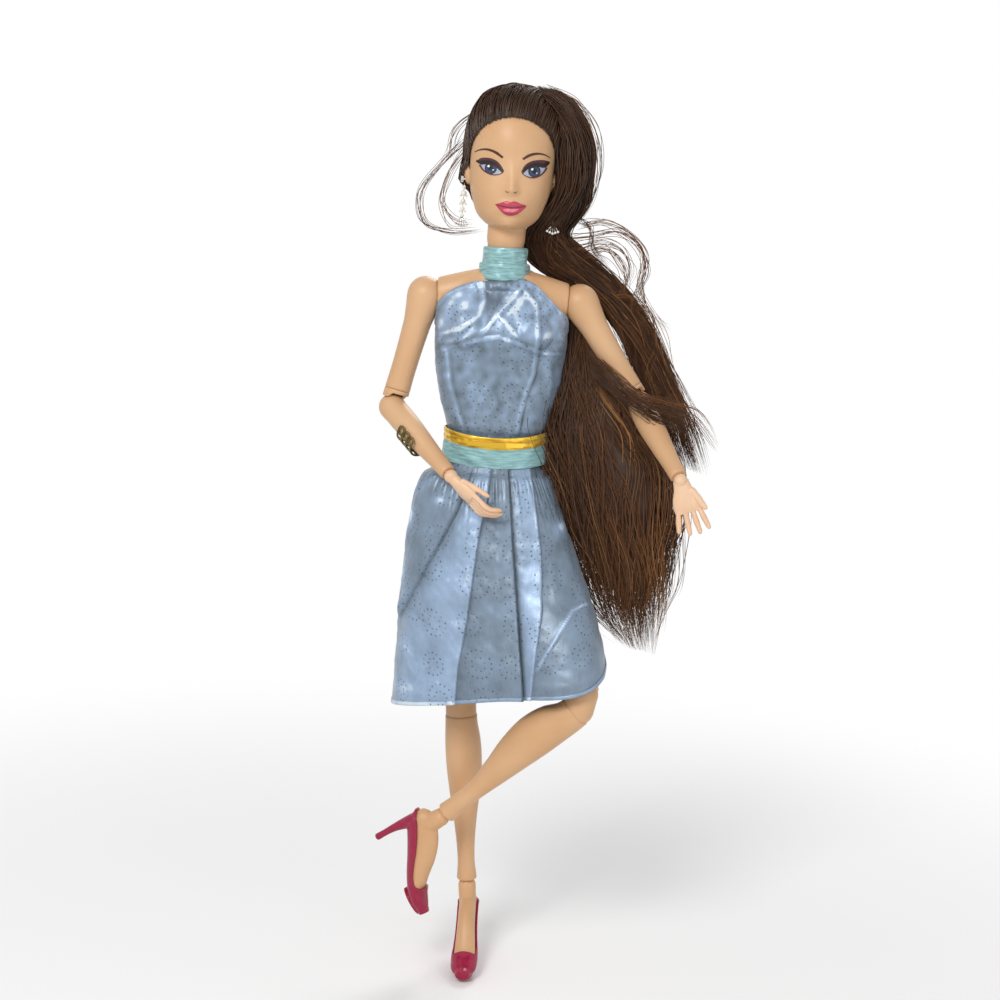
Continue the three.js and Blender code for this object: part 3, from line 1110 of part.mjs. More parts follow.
const leftArm = addArm('left', 1, pose.left);
doll.updateMatrixWorld(true);
const hairLock = makeHairLock(leftArm.raise.matrixWorld, leftArm.bend.matrixWorld);
doll.add(meshOf('hair_lock', hairLock, hairMaterial));
const rightArm = addArm('right', -1, pose.right);
const cuff = at(rightArm.bend, 0, 0, -bracelet.along);
cuff.add(meshOf('bracelet', makeBracelet(), bronzeMaterial));

function addLeg(name, side, angles) {
  const swing = at(doll, side * leg.hipX, 0, leg.hipZ, { x: angles.legSwingAngle });
  swing.add(meshOf(`${name}_hip_hub`, makeHipHub(side), innerMaterial));
  const spread = at(swing, 0, 0, 0, { y: angles.legSpreadAngle });
  spread.add(meshOf(`${name}_thigh_cap`, makeThighCap(side), skinMaterial));
  const turn = at(spread, 0, 0, 0, { z: angles.thighTurnAngle });
  turn.add(meshOf(`${name}_thigh`, makeThigh(), skinMaterial));
  const upper = at(turn, 0, 0, leg.kneeLink / 2 - leg.thighLength, { x: angles.kneeBendAngle / 2 });
  upper.add(meshOf(`${name}_knee_link`, makeKneeLink(), skinMaterial));
  upper.add(meshOf(`${name}_knee_pin_upper`, makeKneePin(), innerMaterial));
  const pinPlace = at(upper, 0, 0, -leg.kneeLink);
  pinPlace.add(meshOf(`${name}_knee_pin_lower`, makeKneePin(), innerMaterial));
  const lower = at(upper, 0, 0, -leg.kneeLink, { x: angles.kneeBendAngle / 2 });
  lower.add(meshOf(`${name}_shin`, makeShin(), skinMaterial));
  const ankle = at(lower, 0, 0, leg.kneeLink / 2 - leg.shinLength, { z: angles.ankleTurnAngle });
  ankle.add(meshOf(`${name}_ankle_peg`, makeAnklePeg(), innerMaterial));
  const sole = at(ankle, 0, 0, 0, { x: angles.ankleBendAngle });
  sole.add(meshOf(`${name}_foot`, makeFoot(), skinMaterial));
  sole.add(meshOf(`${name}_shoe`, makeShoe(), shoeMaterial));
}

addLeg('left', 1, pose.left);
addLeg('right', -1, pose.right);

export default doll;
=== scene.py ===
import json
import math

import bpy
import numpy as np
from mathutils import Matrix, Vector
from mathutils.bvhtree import BVHTree


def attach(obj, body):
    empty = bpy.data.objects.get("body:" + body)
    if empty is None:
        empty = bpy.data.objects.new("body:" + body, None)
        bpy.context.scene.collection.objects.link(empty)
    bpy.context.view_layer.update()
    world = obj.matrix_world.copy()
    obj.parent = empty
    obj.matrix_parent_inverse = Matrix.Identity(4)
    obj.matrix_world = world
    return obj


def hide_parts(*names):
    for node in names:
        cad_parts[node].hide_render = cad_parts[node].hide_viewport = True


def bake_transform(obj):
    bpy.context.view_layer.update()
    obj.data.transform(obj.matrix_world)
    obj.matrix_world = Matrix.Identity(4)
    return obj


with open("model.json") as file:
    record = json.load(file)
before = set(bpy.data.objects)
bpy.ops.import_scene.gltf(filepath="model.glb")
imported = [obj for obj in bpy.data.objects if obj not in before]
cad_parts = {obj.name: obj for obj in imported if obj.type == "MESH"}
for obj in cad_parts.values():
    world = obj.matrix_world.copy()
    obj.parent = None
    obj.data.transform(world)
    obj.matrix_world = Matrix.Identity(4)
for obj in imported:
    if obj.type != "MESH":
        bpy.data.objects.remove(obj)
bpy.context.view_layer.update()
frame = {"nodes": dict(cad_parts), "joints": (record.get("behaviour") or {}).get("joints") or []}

MM = 0.001

# Camera of the photograph
CAM_DISTANCE, CAM_RISE, CAM_ROLL, CAM_PX = 632.0, math.radians(8.5), math.radians(3.0), 1853.0
CAM_AIM = np.array([2.556, 0.0, -19.80])
CAM_FWD = np.array([0, math.cos(CAM_RISE), -math.sin(CAM_RISE)])
CAM_UP = np.array([0, math.sin(CAM_RISE), math.cos(CAM_RISE)])
CAM_RIGHT = np.array([1.0, 0, 0])
CAM_AT = CAM_AIM - CAM_FWD * CAM_DISTANCE
ROLL_COS, ROLL_SIN = math.cos(CAM_ROLL), math.sin(CAM_ROLL)
PICTURE = 1000
MIDDLE = PICTURE / 2


def ray(px, py):
    """Direction of the sight line through a picture point."""
    u = (px - MIDDLE) * ROLL_COS + (py - MIDDLE) * ROLL_SIN
    v = -(px - MIDDLE) * ROLL_SIN + (py - MIDDLE) * ROLL_COS
    return CAM_FWD * CAM_PX + CAM_RIGHT * u - CAM_UP * v


def at_depth(px, py, y):
    """The point of the sight line through (px, py) that lies at depth y."""
    d = ray(px, py)
    return CAM_AT + d * ((y - CAM_AT[1]) / d[1])


def seen_at(points):
    """Picture coordinates of points."""
    d = np.asarray(points, float) - CAM_AT
    k = CAM_PX / (d @ CAM_FWD)
    u, v = (d @ CAM_RIGHT) * k, -(d @ CAM_UP) * k
    return MIDDLE + u * ROLL_COS - v * ROLL_SIN, MIDDLE + u * ROLL_SIN + v * ROLL_COS


def beside(line, px, py):
    """Pixels from a line of picture points, positive to its right as it runs down, and the place along it."""
    line = np.asarray(line, float)
    best, side, place = np.full(px.shape, 1e9), np.zeros(px.shape), np.zeros(px.shape)
    for k, (a, b) in enumerate(zip(line[:-1], line[1:])):
        d = b - a
        t = ((px - a[0]) * d[0] + (py - a[1]) * d[1]) / (d @ d)
        lo, hi = (-1e3 if k == 0 else 0), (1e3 if k == len(line) - 2 else 1)
        c = np.clip(t, lo, hi)
        away = np.hypot(px - a[0] - c * d[0], py - a[1] - c * d[1])
        better = away < best
        best = np.where(better, away, best)
        side = np.where(better, np.sign((px - a[0]) * d[1] - (py - a[1]) * d[0]), side)
        place = np.where(better, (k + t) / (len(line) - 1), place)
    return best * np.where(side == 0, 1, side), place


def ease(x, a, b):
    """A smooth step from 0 at a to 1 at b."""
    t = np.clip((x - a) / (b - a), 0, 1)
    return t * t * (3 - 2 * t)


# Geometry helpers
def round_angles(count):
    """Angles of a full turn, its end left out."""
    return np.linspace(0, 2 * math.pi, count, endpoint=False)


def worn(obj, holder, slot, *nodes):
    """Puts a piece on a body, or bakes it in place where the holder is a blend's terms, and hides the nodes
    it takes the place of; the slot is not used.
    """
    if isinstance(holder, str):
        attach(obj, holder)
    else:
        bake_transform(obj)
    if nodes:
        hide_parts(*nodes)
    return obj


def unit(v):
    """Vectors scaled to length 1, along the last axis."""
    v = np.asarray(v, float)
    return v / np.maximum(np.linalg.norm(v, axis=-1, keepdims=True), 1e-9)


def rotation(about, degrees):
    """The matrix of a turn about X, Y or Z (0, 1 or 2)."""
    c, s = math.cos(math.radians(degrees)), math.sin(math.radians(degrees))
    i, j = (about + 1) % 3, (about + 2) % 3
    out = np.eye(3)
    out[i, i], out[i, j], out[j, i], out[j, j] = c, -s, s, c
    return out


def smooth_rows(rows, n):
    """Catmull-Rom through rows whose first column is the place along; returns n rows."""
    rows = np.asarray(rows, float)
    t = rows[:, 0]
    slopes = np.gradient(rows[:, 1:], t, axis=0)
    s = np.linspace(t[0], t[-1], n) if np.isscalar(n) else np.asarray(n, float)
    k = np.clip(np.searchsorted(t, s, side="right") - 1, 0, len(t) - 2)
    h = (t[k + 1] - t[k])[:, None]
    x = ((s - t[k])[:, None]) / h
    a, b = rows[k, 1:], rows[k + 1, 1:]
    ma, mb = slopes[k] * h, slopes[k + 1] * h
    out = (2 * x**3 - 3 * x**2 + 1) * a + (x**3 - 2 * x**2 + x) * ma
    out += (-2 * x**3 + 3 * x**2) * b + (x**3 - x**2) * mb
    return np.column_stack([s, out])


def smooth_line(points, n):
    """n points along a smooth curve through the given ones, spaced evenly."""
    p = np.asarray(points, float)
    gaps = np.maximum(np.linalg.norm(np.diff(p, axis=0), axis=1), 1e-6)
    t = np.concatenate([[0], np.cumsum(gaps)])
    return smooth_rows(np.column_stack([t, p]), n)[:, 1:]


class Place:
    """A frame in the row frame: an origin and three axes as columns."""

    def __init__(self, origin, x, y, z):
        self.o = np.asarray(origin, float)
        self.r = np.column_stack([unit(x), unit(y), unit(z)])

    def __call__(self, points):
        return np.asarray(points, float) @ self.r.T + self.o

    def turned_x(self, degrees):
        return Place(self.o, *(self.r @ rotation(0, degrees)).T)


JOINT = {j["name"]: j for j in frame["joints"]}


def spot(name):
    """A joint's place in millimetres."""
    return 1000 * np.array(JOINT[name]["pos_m"], float)


def axis(name):
    """A joint's axis."""
    return unit(JOINT[name]["axis"])


def limb_places(side):
    """The frames of a side's limbs, from the joints."""
    s = 1 if side == "left" else -1
    n = side + "_"
    places = {}
    z, y = s * axis(n + "elbow_turn"), -s * axis(n + "shoulder_raise")
    places["upper_arm"] = Place(spot(n + "shoulder_raise"), np.cross(y, z), y, z)
    x = -axis(n + "elbow_bend")
    places["elbow"] = Place(spot(n + "elbow_bend"), x, np.cross(z, x), z)
    z = axis(n + "wrist_turn")
    places["forearm"] = Place(spot(n + "elbow_bend"), x, np.cross(z, x), z)
    x = -axis(n + "wrist_bend")
    places["hand"] = Place(spot(n + "wrist_bend"), x, np.cross(z, x), z).turned_x(42.8 if s > 0 else -23.5)
    x, z = axis(n + "knee_upper"), s * axis(n + "thigh_turn")
    places["thigh"] = Place(spot(n + "hip_spread"), x, np.cross(z, x), z)
    z = unit(spot(n + "knee_upper") - spot(n + "knee_lower"))
    places["knee"] = Place(spot(n + "knee_upper"), x, np.cross(z, x), z)
    z = axis(n + "ankle_turn")
    places["shin"] = Place(spot(n + "knee_lower"), x, np.cross(z, x), z)
    x = axis(n + "ankle_bend")
    places["foot"] = Place(spot(n + "ankle_bend"), x, np.cross(z, x), z).turned_x(8 if s > 0 else 0)
    return places


def rings_mesh(rings, close_ends=True, wrap=True):
    """Vertices and faces of a skin over rings, an (n, m, 3) array."""
    rings = np.asarray(rings, float)
    n, m, _ = rings.shape
    verts = rings.reshape(-1, 3)
    i, j = np.meshgrid(np.arange(n - 1), np.arange(m if wrap else m - 1), indexing="ij")
    k = (j + 1) % m
    faces = np.stack([i * m + j, i * m + k, (i + 1) * m + k, (i + 1) * m + j], -1).reshape(-1, 4).tolist()
    if close_ends:
        faces.append(list(range(m))[::-1])
        faces.append([(n - 1) * m + q for q in range(m)])
    return verts, faces


def make(name, verts, faces, material, uv=None, attributes=None, smooth=True):
    """A mesh object from millimetres in the row frame."""
    mesh = bpy.data.meshes.new(name)
    mesh.from_pydata((np.asarray(verts, float) * MM).tolist(), [], faces)
    mesh.validate()
    if smooth:
        mesh.shade_smooth()
    if uv is not None:
        layer = mesh.uv_layers.new(name="uv")
        index = np.zeros(len(mesh.loops), np.int32)
        mesh.loops.foreach_get("vertex_index", index)
        layer.data.foreach_set("uv", np.asarray(uv, float)[index].astype(np.float32).ravel())
    for key, values in (attributes or {}).items():
        layer = mesh.attributes.new(key, "FLOAT", "POINT")
        layer.data.foreach_set("value", np.asarray(values, np.float32))
    obj = bpy.data.objects.new(name, mesh)
    bpy.context.scene.collection.objects.link(obj)
    if material is not None:
        mesh.materials.append(material)
    return obj


def joined(parts):
    """One list of vertices and faces from several (verts, faces)."""
    verts, faces, base = [], [], 0
    for v, f in parts:
        verts.append(np.asarray(v, float))
        faces.extend([[int(q) + base for q in face] for face in f])
        base += len(v)
    return np.concatenate(verts), faces


def loft(rows, sides=48, place=None):
    """Ellipses along local -Z: rows are along, half width, half depth and, where given, a shift in y."""
    rows = np.asarray(rows, float)
    a = round_angles(sides)
    c, s = np.cos(a), np.sin(a)
    shift = rows[:, 3:4] if rows.shape[1] > 3 else 0
    rings = np.stack([rows[:, 1:2] * c, rows[:, 2:3] * s + shift, -np.repeat(rows[:, :1], sides, 1)], -1)
    verts, faces = rings_mesh(rings)
    return (place(verts) if place else verts), faces


def sphere(radius, centre, place=None, sides=32, rings=20, scale=(1, 1, 1)):
    """A ball, or an egg by its scale."""
    t = np.linspace(1e-3, math.pi - 1e-3, rings)
    rows = [[radius * math.cos(q), radius * math.sin(q), radius * math.sin(q)] for q in t]
    verts, faces = loft(rows, sides)
    verts = verts * np.asarray(scale) + np.asarray(centre, float)
    return (place(verts) if place else verts), faces


def tube(points, radius, sides=8):
    """A round tube along a line of points."""
    p = np.asarray(points, float)
    tangent = unit(np.gradient(p, axis=0))
    u = unit(np.cross(tangent, [0.13, 0.94, 0.31]))
    v = np.cross(tangent, u)
    a = round_angles(sides)[None, :, None]
    return rings_mesh(p[:, None] + radius * (np.cos(a) * u[:, None] + np.sin(a) * v[:, None]))


def fused(name, parts, material, voxel, smoothing):
    """One smooth skin round several closed parts."""
    verts, faces = joined(parts)
    obj = make(name, verts, faces, material)
    remesh = obj.modifiers.new("fuse", "REMESH")
    remesh.mode, remesh.voxel_size = "VOXEL", voxel * MM
    soften = obj.modifiers.new("soften", "SMOOTH")
    soften.factor, soften.iterations = 0.5, smoothing
    return baked(obj)


def baked(obj):
    """The object with its modifiers applied."""
    graph = bpy.context.evaluated_depsgraph_get()
    mesh = bpy.data.meshes.new_from_object(obj.evaluated_get(graph), depsgraph=graph)
    obj.modifiers.clear()
    obj.data = mesh
    mesh.shade_smooth()
    return obj


def carved(obj, tool_parts):
    """Cuts closed parts out of an object."""
    verts, faces = joined(tool_parts)
    tool = make("tool", verts, faces, None)
    cut = obj.modifiers.new("cut", "BOOLEAN")
    cut.operation, cut.object, cut.solver = "DIFFERENCE", tool, "EXACT"
    obj = baked(obj)
    bpy.data.objects.remove(tool)
    return obj


def tree_of(obj):
    """A search tree over the object's faces, in millimetres."""
    mesh = obj.data
    co = np.zeros(len(mesh.vertices) * 3)
    mesh.vertices.foreach_get("co", co)
    verts = (co.reshape(-1, 3) / MM).tolist()
    return BVHTree.FromPolygons(verts, [list(p.vertices) for p in mesh.polygons])


# Materials
def rgb(code):
    """Linear colour from a hex code."""
    code = code.lstrip("#")
    c = [int(code[i:i + 2], 16) / 255 for i in (0, 2, 4)]
    return [x / 12.92 if x <= 0.04045 else ((x + 0.055) / 1.055) ** 2.4 for x in c] + [1]


class Nodes:
    """A tree of shader nodes and short ways to add to it."""

    def __init__(self, tree, output):
        self.tree, self.output = tree, tree.nodes[output].inputs[0]

    def node(self, kind, inputs=None, **props):
        n = self.tree.nodes.new("ShaderNode" + kind)
        for key, value in props.items():
            setattr(n, key, value)
        for key, value in (inputs or {}).items():
            socket = n.inputs[key]
            if isinstance(value, bpy.types.NodeSocket):
                self.tree.links.new(value, socket)
            else:
                socket.default_value = value
        return n

    def math(self, op, a, b=0.0, c=0.0, clamp=False):
        return self.node("Math", {0: a, 1: b, 2: c}, operation=op, use_clamp=clamp).outputs[0]

    def times(self, a, b):
        return self.math("MULTIPLY", a, b)

    def length(self, x, y):
        return self.math("SQRT", self.math("ADD", self.times(x, x), self.times(y, y)))

    def plain_view(self):
        """1 where the camera sees the surface, itself or through gloss or glass."""
        path = self.node("LightPath").outputs
        mirrored = self.math("MAXIMUM", path["Is Glossy Ray"], path["Is Transmission Ray"])
        return self.math("MAXIMUM", path["Is Camera Ray"], mirrored)

    def choose(self, fac, a, b):
        """Sends a mix of two shaders to the output."""
        both = self.node("MixShader", {0: fac, 1: a.outputs[0], 2: b.outputs[0]})
        self.tree.links.new(both.outputs[0], self.output)


class Mat(Nodes):
    """A procedural material, built from nodes."""

    def __init__(self, name, **shader):
        self.mat = bpy.data.materials.new(name)
        self.mat.use_nodes = True
        super().__init__(self.mat.node_tree, "Material Output")
        self.shader = self.tree.nodes["Principled BSDF"]
        for key, value in shader.items():
            self.shader.inputs[key.replace("_", " ")].default_value = value

    def coord(self, which="Object"):
        return self.node("TexCoord").outputs[which]

    def value(self, name):
        return self.node("Attribute", attribute_name=name).outputs["Fac"]

    def mix(self, fac, a, b):
        """A mix of two colours, each a socket or a hex code."""
        a, b = (rgb(c) if isinstance(c, str) else c for c in (a, b))
        return self.node("Mix", {0: fac, 6: a, 7: b}, data_type="RGBA").outputs[2]

    def ramp(self, fac, stops):
        n = self.node("ValToRGB", {0: fac})
        elements = n.color_ramp.elements
        while len(elements) < len(stops):
            elements.new(0.5)
        for element, (place, colour) in zip(elements, stops):
            element.position = place
            element.color = rgb(colour) if isinstance(colour, str) else (colour, colour, colour, 1)
        return n.outputs[0]

    def noise(self, scale, detail=3.0, rough=0.5, vector=None, distortion=0.0):
        inputs = {"Scale": scale, "Detail": detail, "Roughness": rough, "Distortion": distortion}
        inputs["Vector"] = vector if vector is not None else self.coord()
        return self.node("TexNoise", inputs).outputs[0]

    def stretched(self, vector, scale):
        return self.node("Mapping", {"Vector": vector, "Scale": scale}).outputs[0]

    def colour(self, socket):
        self.tree.links.new(socket, self.shader.inputs["Base Color"])

    def bump(self, height, strength, distance):
        n = self.node("Bump", {"Height": height, "Strength": strength, "Distance": distance * MM})
        self.tree.links.new(n.outputs[0], self.shader.inputs["Normal"])


def skin_material(name, light, dark, roughness=0.42):
    """Plastic that varies a little between two colours."""
    m = Mat(name, Roughness=roughness, Specular_IOR_Level=0.35, Subsurface_Weight=0.12,
            Subsurface_Scale=0.0015, Subsurface_Radius=(1.0, 0.4, 0.2))
    base = m.mix(m.ramp(m.noise(45, 2.0), [(0.3, 0.0), (0.7, 1.0)]), light, dark)
    m.colour(m.mix(m.times(m.noise(900, 2.0), 0.12), base, dark))
    m.bump(m.noise(1400, 2.0), 0.04, 0.1)
    return m.mat


skin = skin_material("skin_plastic", "#D6AE86", "#CA9E74")
leg_skin = skin_material("leg_plastic", "#D9AF86", "#CDA074")
hand_skin = skin_material("hand_plastic", "#E8C6A6", "#DFB491")
inner = skin_material("inner_plastic", "#D9C2A8", "#CFB494", roughness=0.5)


def paint_material(name, light, dark, roughness=0.35, scale=700):
    """Smooth paint, or the plastic of small parts."""
    m = Mat(name, Roughness=roughness, Specular_IOR_Level=0.4)
    m.colour(m.mix(m.noise(scale, 2.0), light, dark))
    return m.mat


RING_CELL, RING_RADIUS, RING_SPREAD, DOT_GAP, DOT_RADIUS = 13.5, 3.4, 2.2, 1.7, 0.31


def satin_material(name="satin", crinkle=0.3):
    """Satin whose colour follows the painted light and shade held in its shade attribute, with rings of dark
    dots on it.
    """
    m = Mat(name, Roughness=0.37, Metallic=0.2, Specular_IOR_Level=0.5, Sheen_Weight=0.2, Sheen_Roughness=0.4)
    uv = m.coord("UV")
    cloud = m.math("MULTIPLY_ADD", m.noise(0.11, 4.0, 0.6, uv), 0.9, -0.45)
    # colour from the painted light and shade in the shade attribute; the near-white top stop is painted glint
    base = m.ramp(m.math("ADD", m.value("shade"), cloud, clamp=True),
                  [(0.0, "#44505E"), (0.3, "#687889"), (0.62, "#7C90A8"), (0.86, "#93AAC8"),
                   (1.0, "#D3E0EA")])
    weave = m.noise(2.6, 2.0, 0.5, m.stretched(uv, (1, 0.1, 1)))
    base = m.mix(m.times(weave, 0.22), base, "#A5B9C9")
    # each cell of a loose grid has a ring of its own size, and a second ring at half that size
    cell = m.node("TexVoronoi", {"Vector": uv, "Scale": 1 / RING_CELL, "Randomness": 0.5},
                  voronoi_dimensions="2D").outputs
    away = m.node("VectorMath", {0: uv, 1: cell["Position"]}, operation="SUBTRACT").outputs[0]
    x, y = m.node("SeparateXYZ", {0: away}).outputs[:2]
    far = m.length(x, y)
    chance = m.node("SeparateColor", {0: cell["Color"]}).outputs[0]
    radius = m.math("MULTIPLY_ADD", chance, RING_SPREAD, RING_RADIUS)
    inside = m.math("LESS_THAN", far, m.times(radius, 0.74))
    radius = m.times(radius, m.math("SUBTRACT", 1.0, m.times(inside, 0.5)))
    count = m.math("ROUND", m.times(radius, 2 * math.pi / DOT_GAP))
    turn = m.math("DIVIDE", m.math("ARCTAN2", y, x), 2 * math.pi)
    step = m.math("SUBTRACT", m.math("FRACT", m.times(turn, count)), 0.5)
    along = m.times(step, m.math("DIVIDE", m.times(radius, 2 * math.pi), count))
    near = m.math("LESS_THAN", m.length(along, m.math("SUBTRACT", far, radius)), DOT_RADIUS)
    worn_off = m.ramp(m.noise(0.5, 2.0, 0.5, uv), [(0.35, 0.25), (0.6, 1.0)])
    m.colour(m.mix(m.times(m.times(near, worn_off), 0.8), base, "#343C48"))
    fine = m.noise(0.55, 4.0, 0.6, uv, distortion=0.6)
    m.bump(m.math("ADD", m.times(fine, crinkle * 6), weave), 0.3, 0.11)
    return m.mat


def cloth_material(name, light, dark, roughness=0.45, scale=1.4, metallic=0.12):
    """Ribbon with streaks along it."""
    m = Mat(name, Roughness=roughness, Metallic=metallic, Specular_IOR_Level=0.5, Sheen_Weight=0.25)
    n = m.noise(scale, 3.0, 0.6, m.stretched(m.coord("UV"), (0.14, 1.1, 1)))
    m.colour(m.mix(m.ramp(n, [(0.35, 0.0), (0.65, 1.0)]), light, dark))
    m.bump(n, 0.3, 0.09)
    return m.mat


def metal_material(name, light, dark, roughness=0.3, scale=500):
    """Metal that is a little uneven."""
    m = Mat(name, Roughness=roughness, Metallic=1.0)
    m.colour(m.mix(m.noise(scale, 3.0), light, dark))
    m.bump(m.noise(scale * 2, 2.0), 0.2, 0.1)
    return m.mat


def hair_material():
    """Hair whose colour follows each strand's "tone"."""
    m = Mat("hair", Roughness=0.4, Specular_IOR_Level=0.36)
    base = m.ramp(m.value("tone"), [(0.0, "#1A0F08"), (0.4, "#331F12"), (0.72, "#613D22"), (1.0, "#A77747")])
    m.colour(m.mix(m.times(m.noise(260, 2.0), 0.25), base, "#8A5C38"))
    return m.mat


satin = satin_material()
bodice_satin = satin_material("bodice_satin", 0.55)
teal = cloth_material("teal_trim", "#98C2C1", "#67939A", 0.36)
ribbon = cloth_material("gold_ribbon", "#F2C93A", "#B98A1A", 0.24, 1.1, metallic=.55)
hair = hair_material()
pump = paint_material("pump", "#A51C46", "#8A1134", 0.22)
silver = metal_material("silver", "#E8E6E2", "#A9A6A0", 0.22)
pearl = paint_material("pearl", "#F1ECE4", "#D9D2C8", 0.18, 300)
antique = metal_material("antique_gold", "#8C7A4A", "#3E3420", 0.38)
closure = cloth_material("closure", "#C9D6E2", "#A8B8C8", 0.8)


# Torso
NECK_PIVOT, NECK_RADIUS, NECK_BASE, NECK_HIGH = (0, .6, 68.6), 6.2, 52, 16.6
BUST, BUST_RADIUS = (8.8, -6.6, 37.6), 7.8
CHEST_BASE, CHEST_HIGH, CHEST_HALF, CHEST_DEEP = 5.2, 51.8, 21.2, 10.6
SHOULDER, SHOULDER_SOCKET, YOKE_HALF, YOKE_DEPTH, YOKE_LEVEL = (26, 2, 48.5), 6.7, 22.1, 1.6, 51.6
CHEST = [
    [0, .74, .94, .86], [.12, .83, .95, .84], [.28, .93, 1, .86], [.44, .98, 1.1, .9], [.54, 1, 1.25, .9],
    [.64, 1, 1.33, .9], [.72, .99, 1.2, .88], [.8, .96, .96, .85], [.88, .86, .7, .78], [1, .5, .5, .62],
]


def torso_parts():
    """The chest as stacked ovals, with the bust, the yoke between the shoulders and the neck."""
    rows = smooth_rows(CHEST, 60)
    a = round_angles(96)
    depth = CHEST_DEEP * np.where(np.sin(a)[None, :] < 0, rows[:, 2:3], rows[:, 3:4])
    z = CHEST_BASE + CHEST_HIGH * rows[:, 0]
    rings = np.stack([CHEST_HALF * rows[:, 1:2] * np.cos(a), depth * np.sin(a), np.repeat(z[:, None], 96, 1)],
                     -1)
    parts = [rings_mesh(rings)]
    parts += [sphere(BUST_RADIUS, (s * BUST[0], *BUST[1:])) for s in (1, -1)]
    yoke = smooth_rows([[-1, .9, 1], [-.62, 1.02, .4], [-.3, 1.12, 0], [.3, 1.12, 0], [.62, 1.02, .4],
                        [1, .9, 1]], 24)
    a = round_angles(40)
    parts.append(rings_mesh(np.stack([
        np.repeat(yoke[:, :1] * YOKE_HALF, 40, 1), YOKE_DEPTH + 5.6 * yoke[:, 1:2] * np.cos(a),
        YOKE_LEVEL - 2.6 * yoke[:, 2:3] + 6.2 * yoke[:, 1:2] * np.sin(a)], -1)))
    neck = smooth_rows([[0, 1.5], [.2, 1.15], [.4, 1], [1, 1]], 20)
    rows = [[-(NECK_BASE + NECK_HIGH * t), NECK_RADIUS * w, NECK_RADIUS * w, NECK_PIVOT[1]] for t, w in neck]
    parts.append(loft(rows, 40))
    return parts + [sphere(NECK_RADIUS, NECK_PIVOT)]


torso = fused("torso_skin", torso_parts(), skin, 0.45, 14)
torso = carved(torso, [sphere(SHOULDER_SOCKET, (s * SHOULDER[0], *SHOULDER[1:])) for s in (1, -1)])
worn(torso, "chest", "skin", "upper_torso")
torso_tree = tree_of(torso)


def dress_node(name, material, voxel=0):
    """A CAD node with a procedural material, its facets softened where a voxel size is given."""
    node = frame["nodes"][name]
    node.data.materials.clear()
    node.data.materials.append(material)
    node.data.shade_smooth()
    if voxel:
        fuse = node.modifiers.new("fuse", "REMESH")
        fuse.mode, fuse.voxel_size = "VOXEL", voxel * MM
        soften = node.modifiers.new("soften", "SMOOTH")
        soften.factor, soften.iterations = 0.5, 10


dress_node("lower_torso", skin, 0.5)

# Arms

# Each limb as shares of its length, half width and half depth
UPPER_ARM = [[0, 1, .96], [.12, 1, .98], [.3, .92, .94], [.5, .86, .86], [.7, .84, .8], [.85, .86, .8]]
FOREARM = [[0, 1, 1], [.14, 1.02, 1.02], [.32, 1, .98], [.55, .86, .84], [.78, .7, .68], [.92, .64, .62]]
UPPER_ARM_LONG, FOREARM_LONG, ELBOW_HUB, WRIST_BALL, GAP = 39.6, 36.4, 6.1, 2.2, .35
UPPER_ARM_HALF, UPPER_ARM_DEEP, FOREARM_HALF, SHOULDER_BALL, ELBOW_BALL = 5.0, 5.2, 4.3, 6.2, 4.5
CUP_LOW, CUP_RISE, CUP_OUTER, CUP_INNER = 3.05, 1.75, 4.32, 3.0


def rim_rows(rows, lip=0.35):
    """Closes a limb's end with a small rounded edge."""
    z, w, d, *shift = rows[-1]
    edge = [[z + lip * .6, w - lip * .35, d - lip * .35, *shift], [z + lip, w - lip, d - lip, *shift]]
    return np.vstack([rows, edge, [[z + lip, w * .3, d * .3, *shift]]])


def dome(radius, last, count):
    """Loft rows of a ball's upper part, down to an angle."""
    q = np.linspace(.02, last, count)
    return np.column_stack([-radius * np.cos(q), radius * np.sin(q), radius * np.sin(q)])


def arm_rows(table, end, length, half, deep, count):
    """Loft rows of an arm from a table of shares whose last row is at end."""
    share = smooth_rows([[r[0] / end, *r[1:]] for r in table], count)
    return share * [length, half, deep]


def limb_skin(side, piece, place, rows, material, *pins):
    """The skin of a limb's piece, over its node and the pins in it."""
    body = side + "_" + ("knee_link" if piece == "knee" else piece)
    limb = make(side + "_" + piece + "_skin", *loft(rows, 48, place), material)
    worn(limb, body, "skin", body, *(side + "_" + pin for pin in pins))


def upper_arm(side, place):
    """A ball at the shoulder that passes into the arm."""
    rows = arm_rows(UPPER_ARM, .85, UPPER_ARM_LONG - ELBOW_HUB - GAP, UPPER_ARM_HALF, UPPER_ARM_DEEP, 40)
    blend = [[.45, SHOULDER_BALL, SHOULDER_BALL], [2.2, 6.02, 6.05], [4.4, 5.55, 5.65], [7, 5.12, 5.25]]
    rows = np.vstack([dome(SHOULDER_BALL, 1.5, 14), blend, rows[rows[:, 0] > 8.5]])
    limb_skin(side, "upper_arm", place, rim_rows(rows), skin)


def elbow_cup(side, place):
    """A thin collar round the elbow hub; its lower edge rises on one side, clear of the forearm's swing."""
    a = round_angles(48)
    low = CUP_LOW + CUP_RISE / (1 + np.exp((np.sin(a) * 4.35 + 0.9) * 3.0))
    high, outer, inside = ELBOW_HUB, CUP_OUTER, CUP_INNER
    rings = []
    for radius, t in ((inside, .03), (outer - .12, 0), (outer, .06), (outer, .5), (outer, .94),
                      (outer - .12, 1), (inside, .97)):
        rings.append(np.stack([radius * np.cos(a), radius * np.sin(a), low + (high - low) * t], -1))
    verts, faces = rings_mesh(np.array(rings + rings[:1]), close_ends=False)
    body = side + "_elbow_hub"
    worn(make(side + "_elbow_skin", place(verts), faces, skin), body, "skin", body)
    dress_node(body, skin)


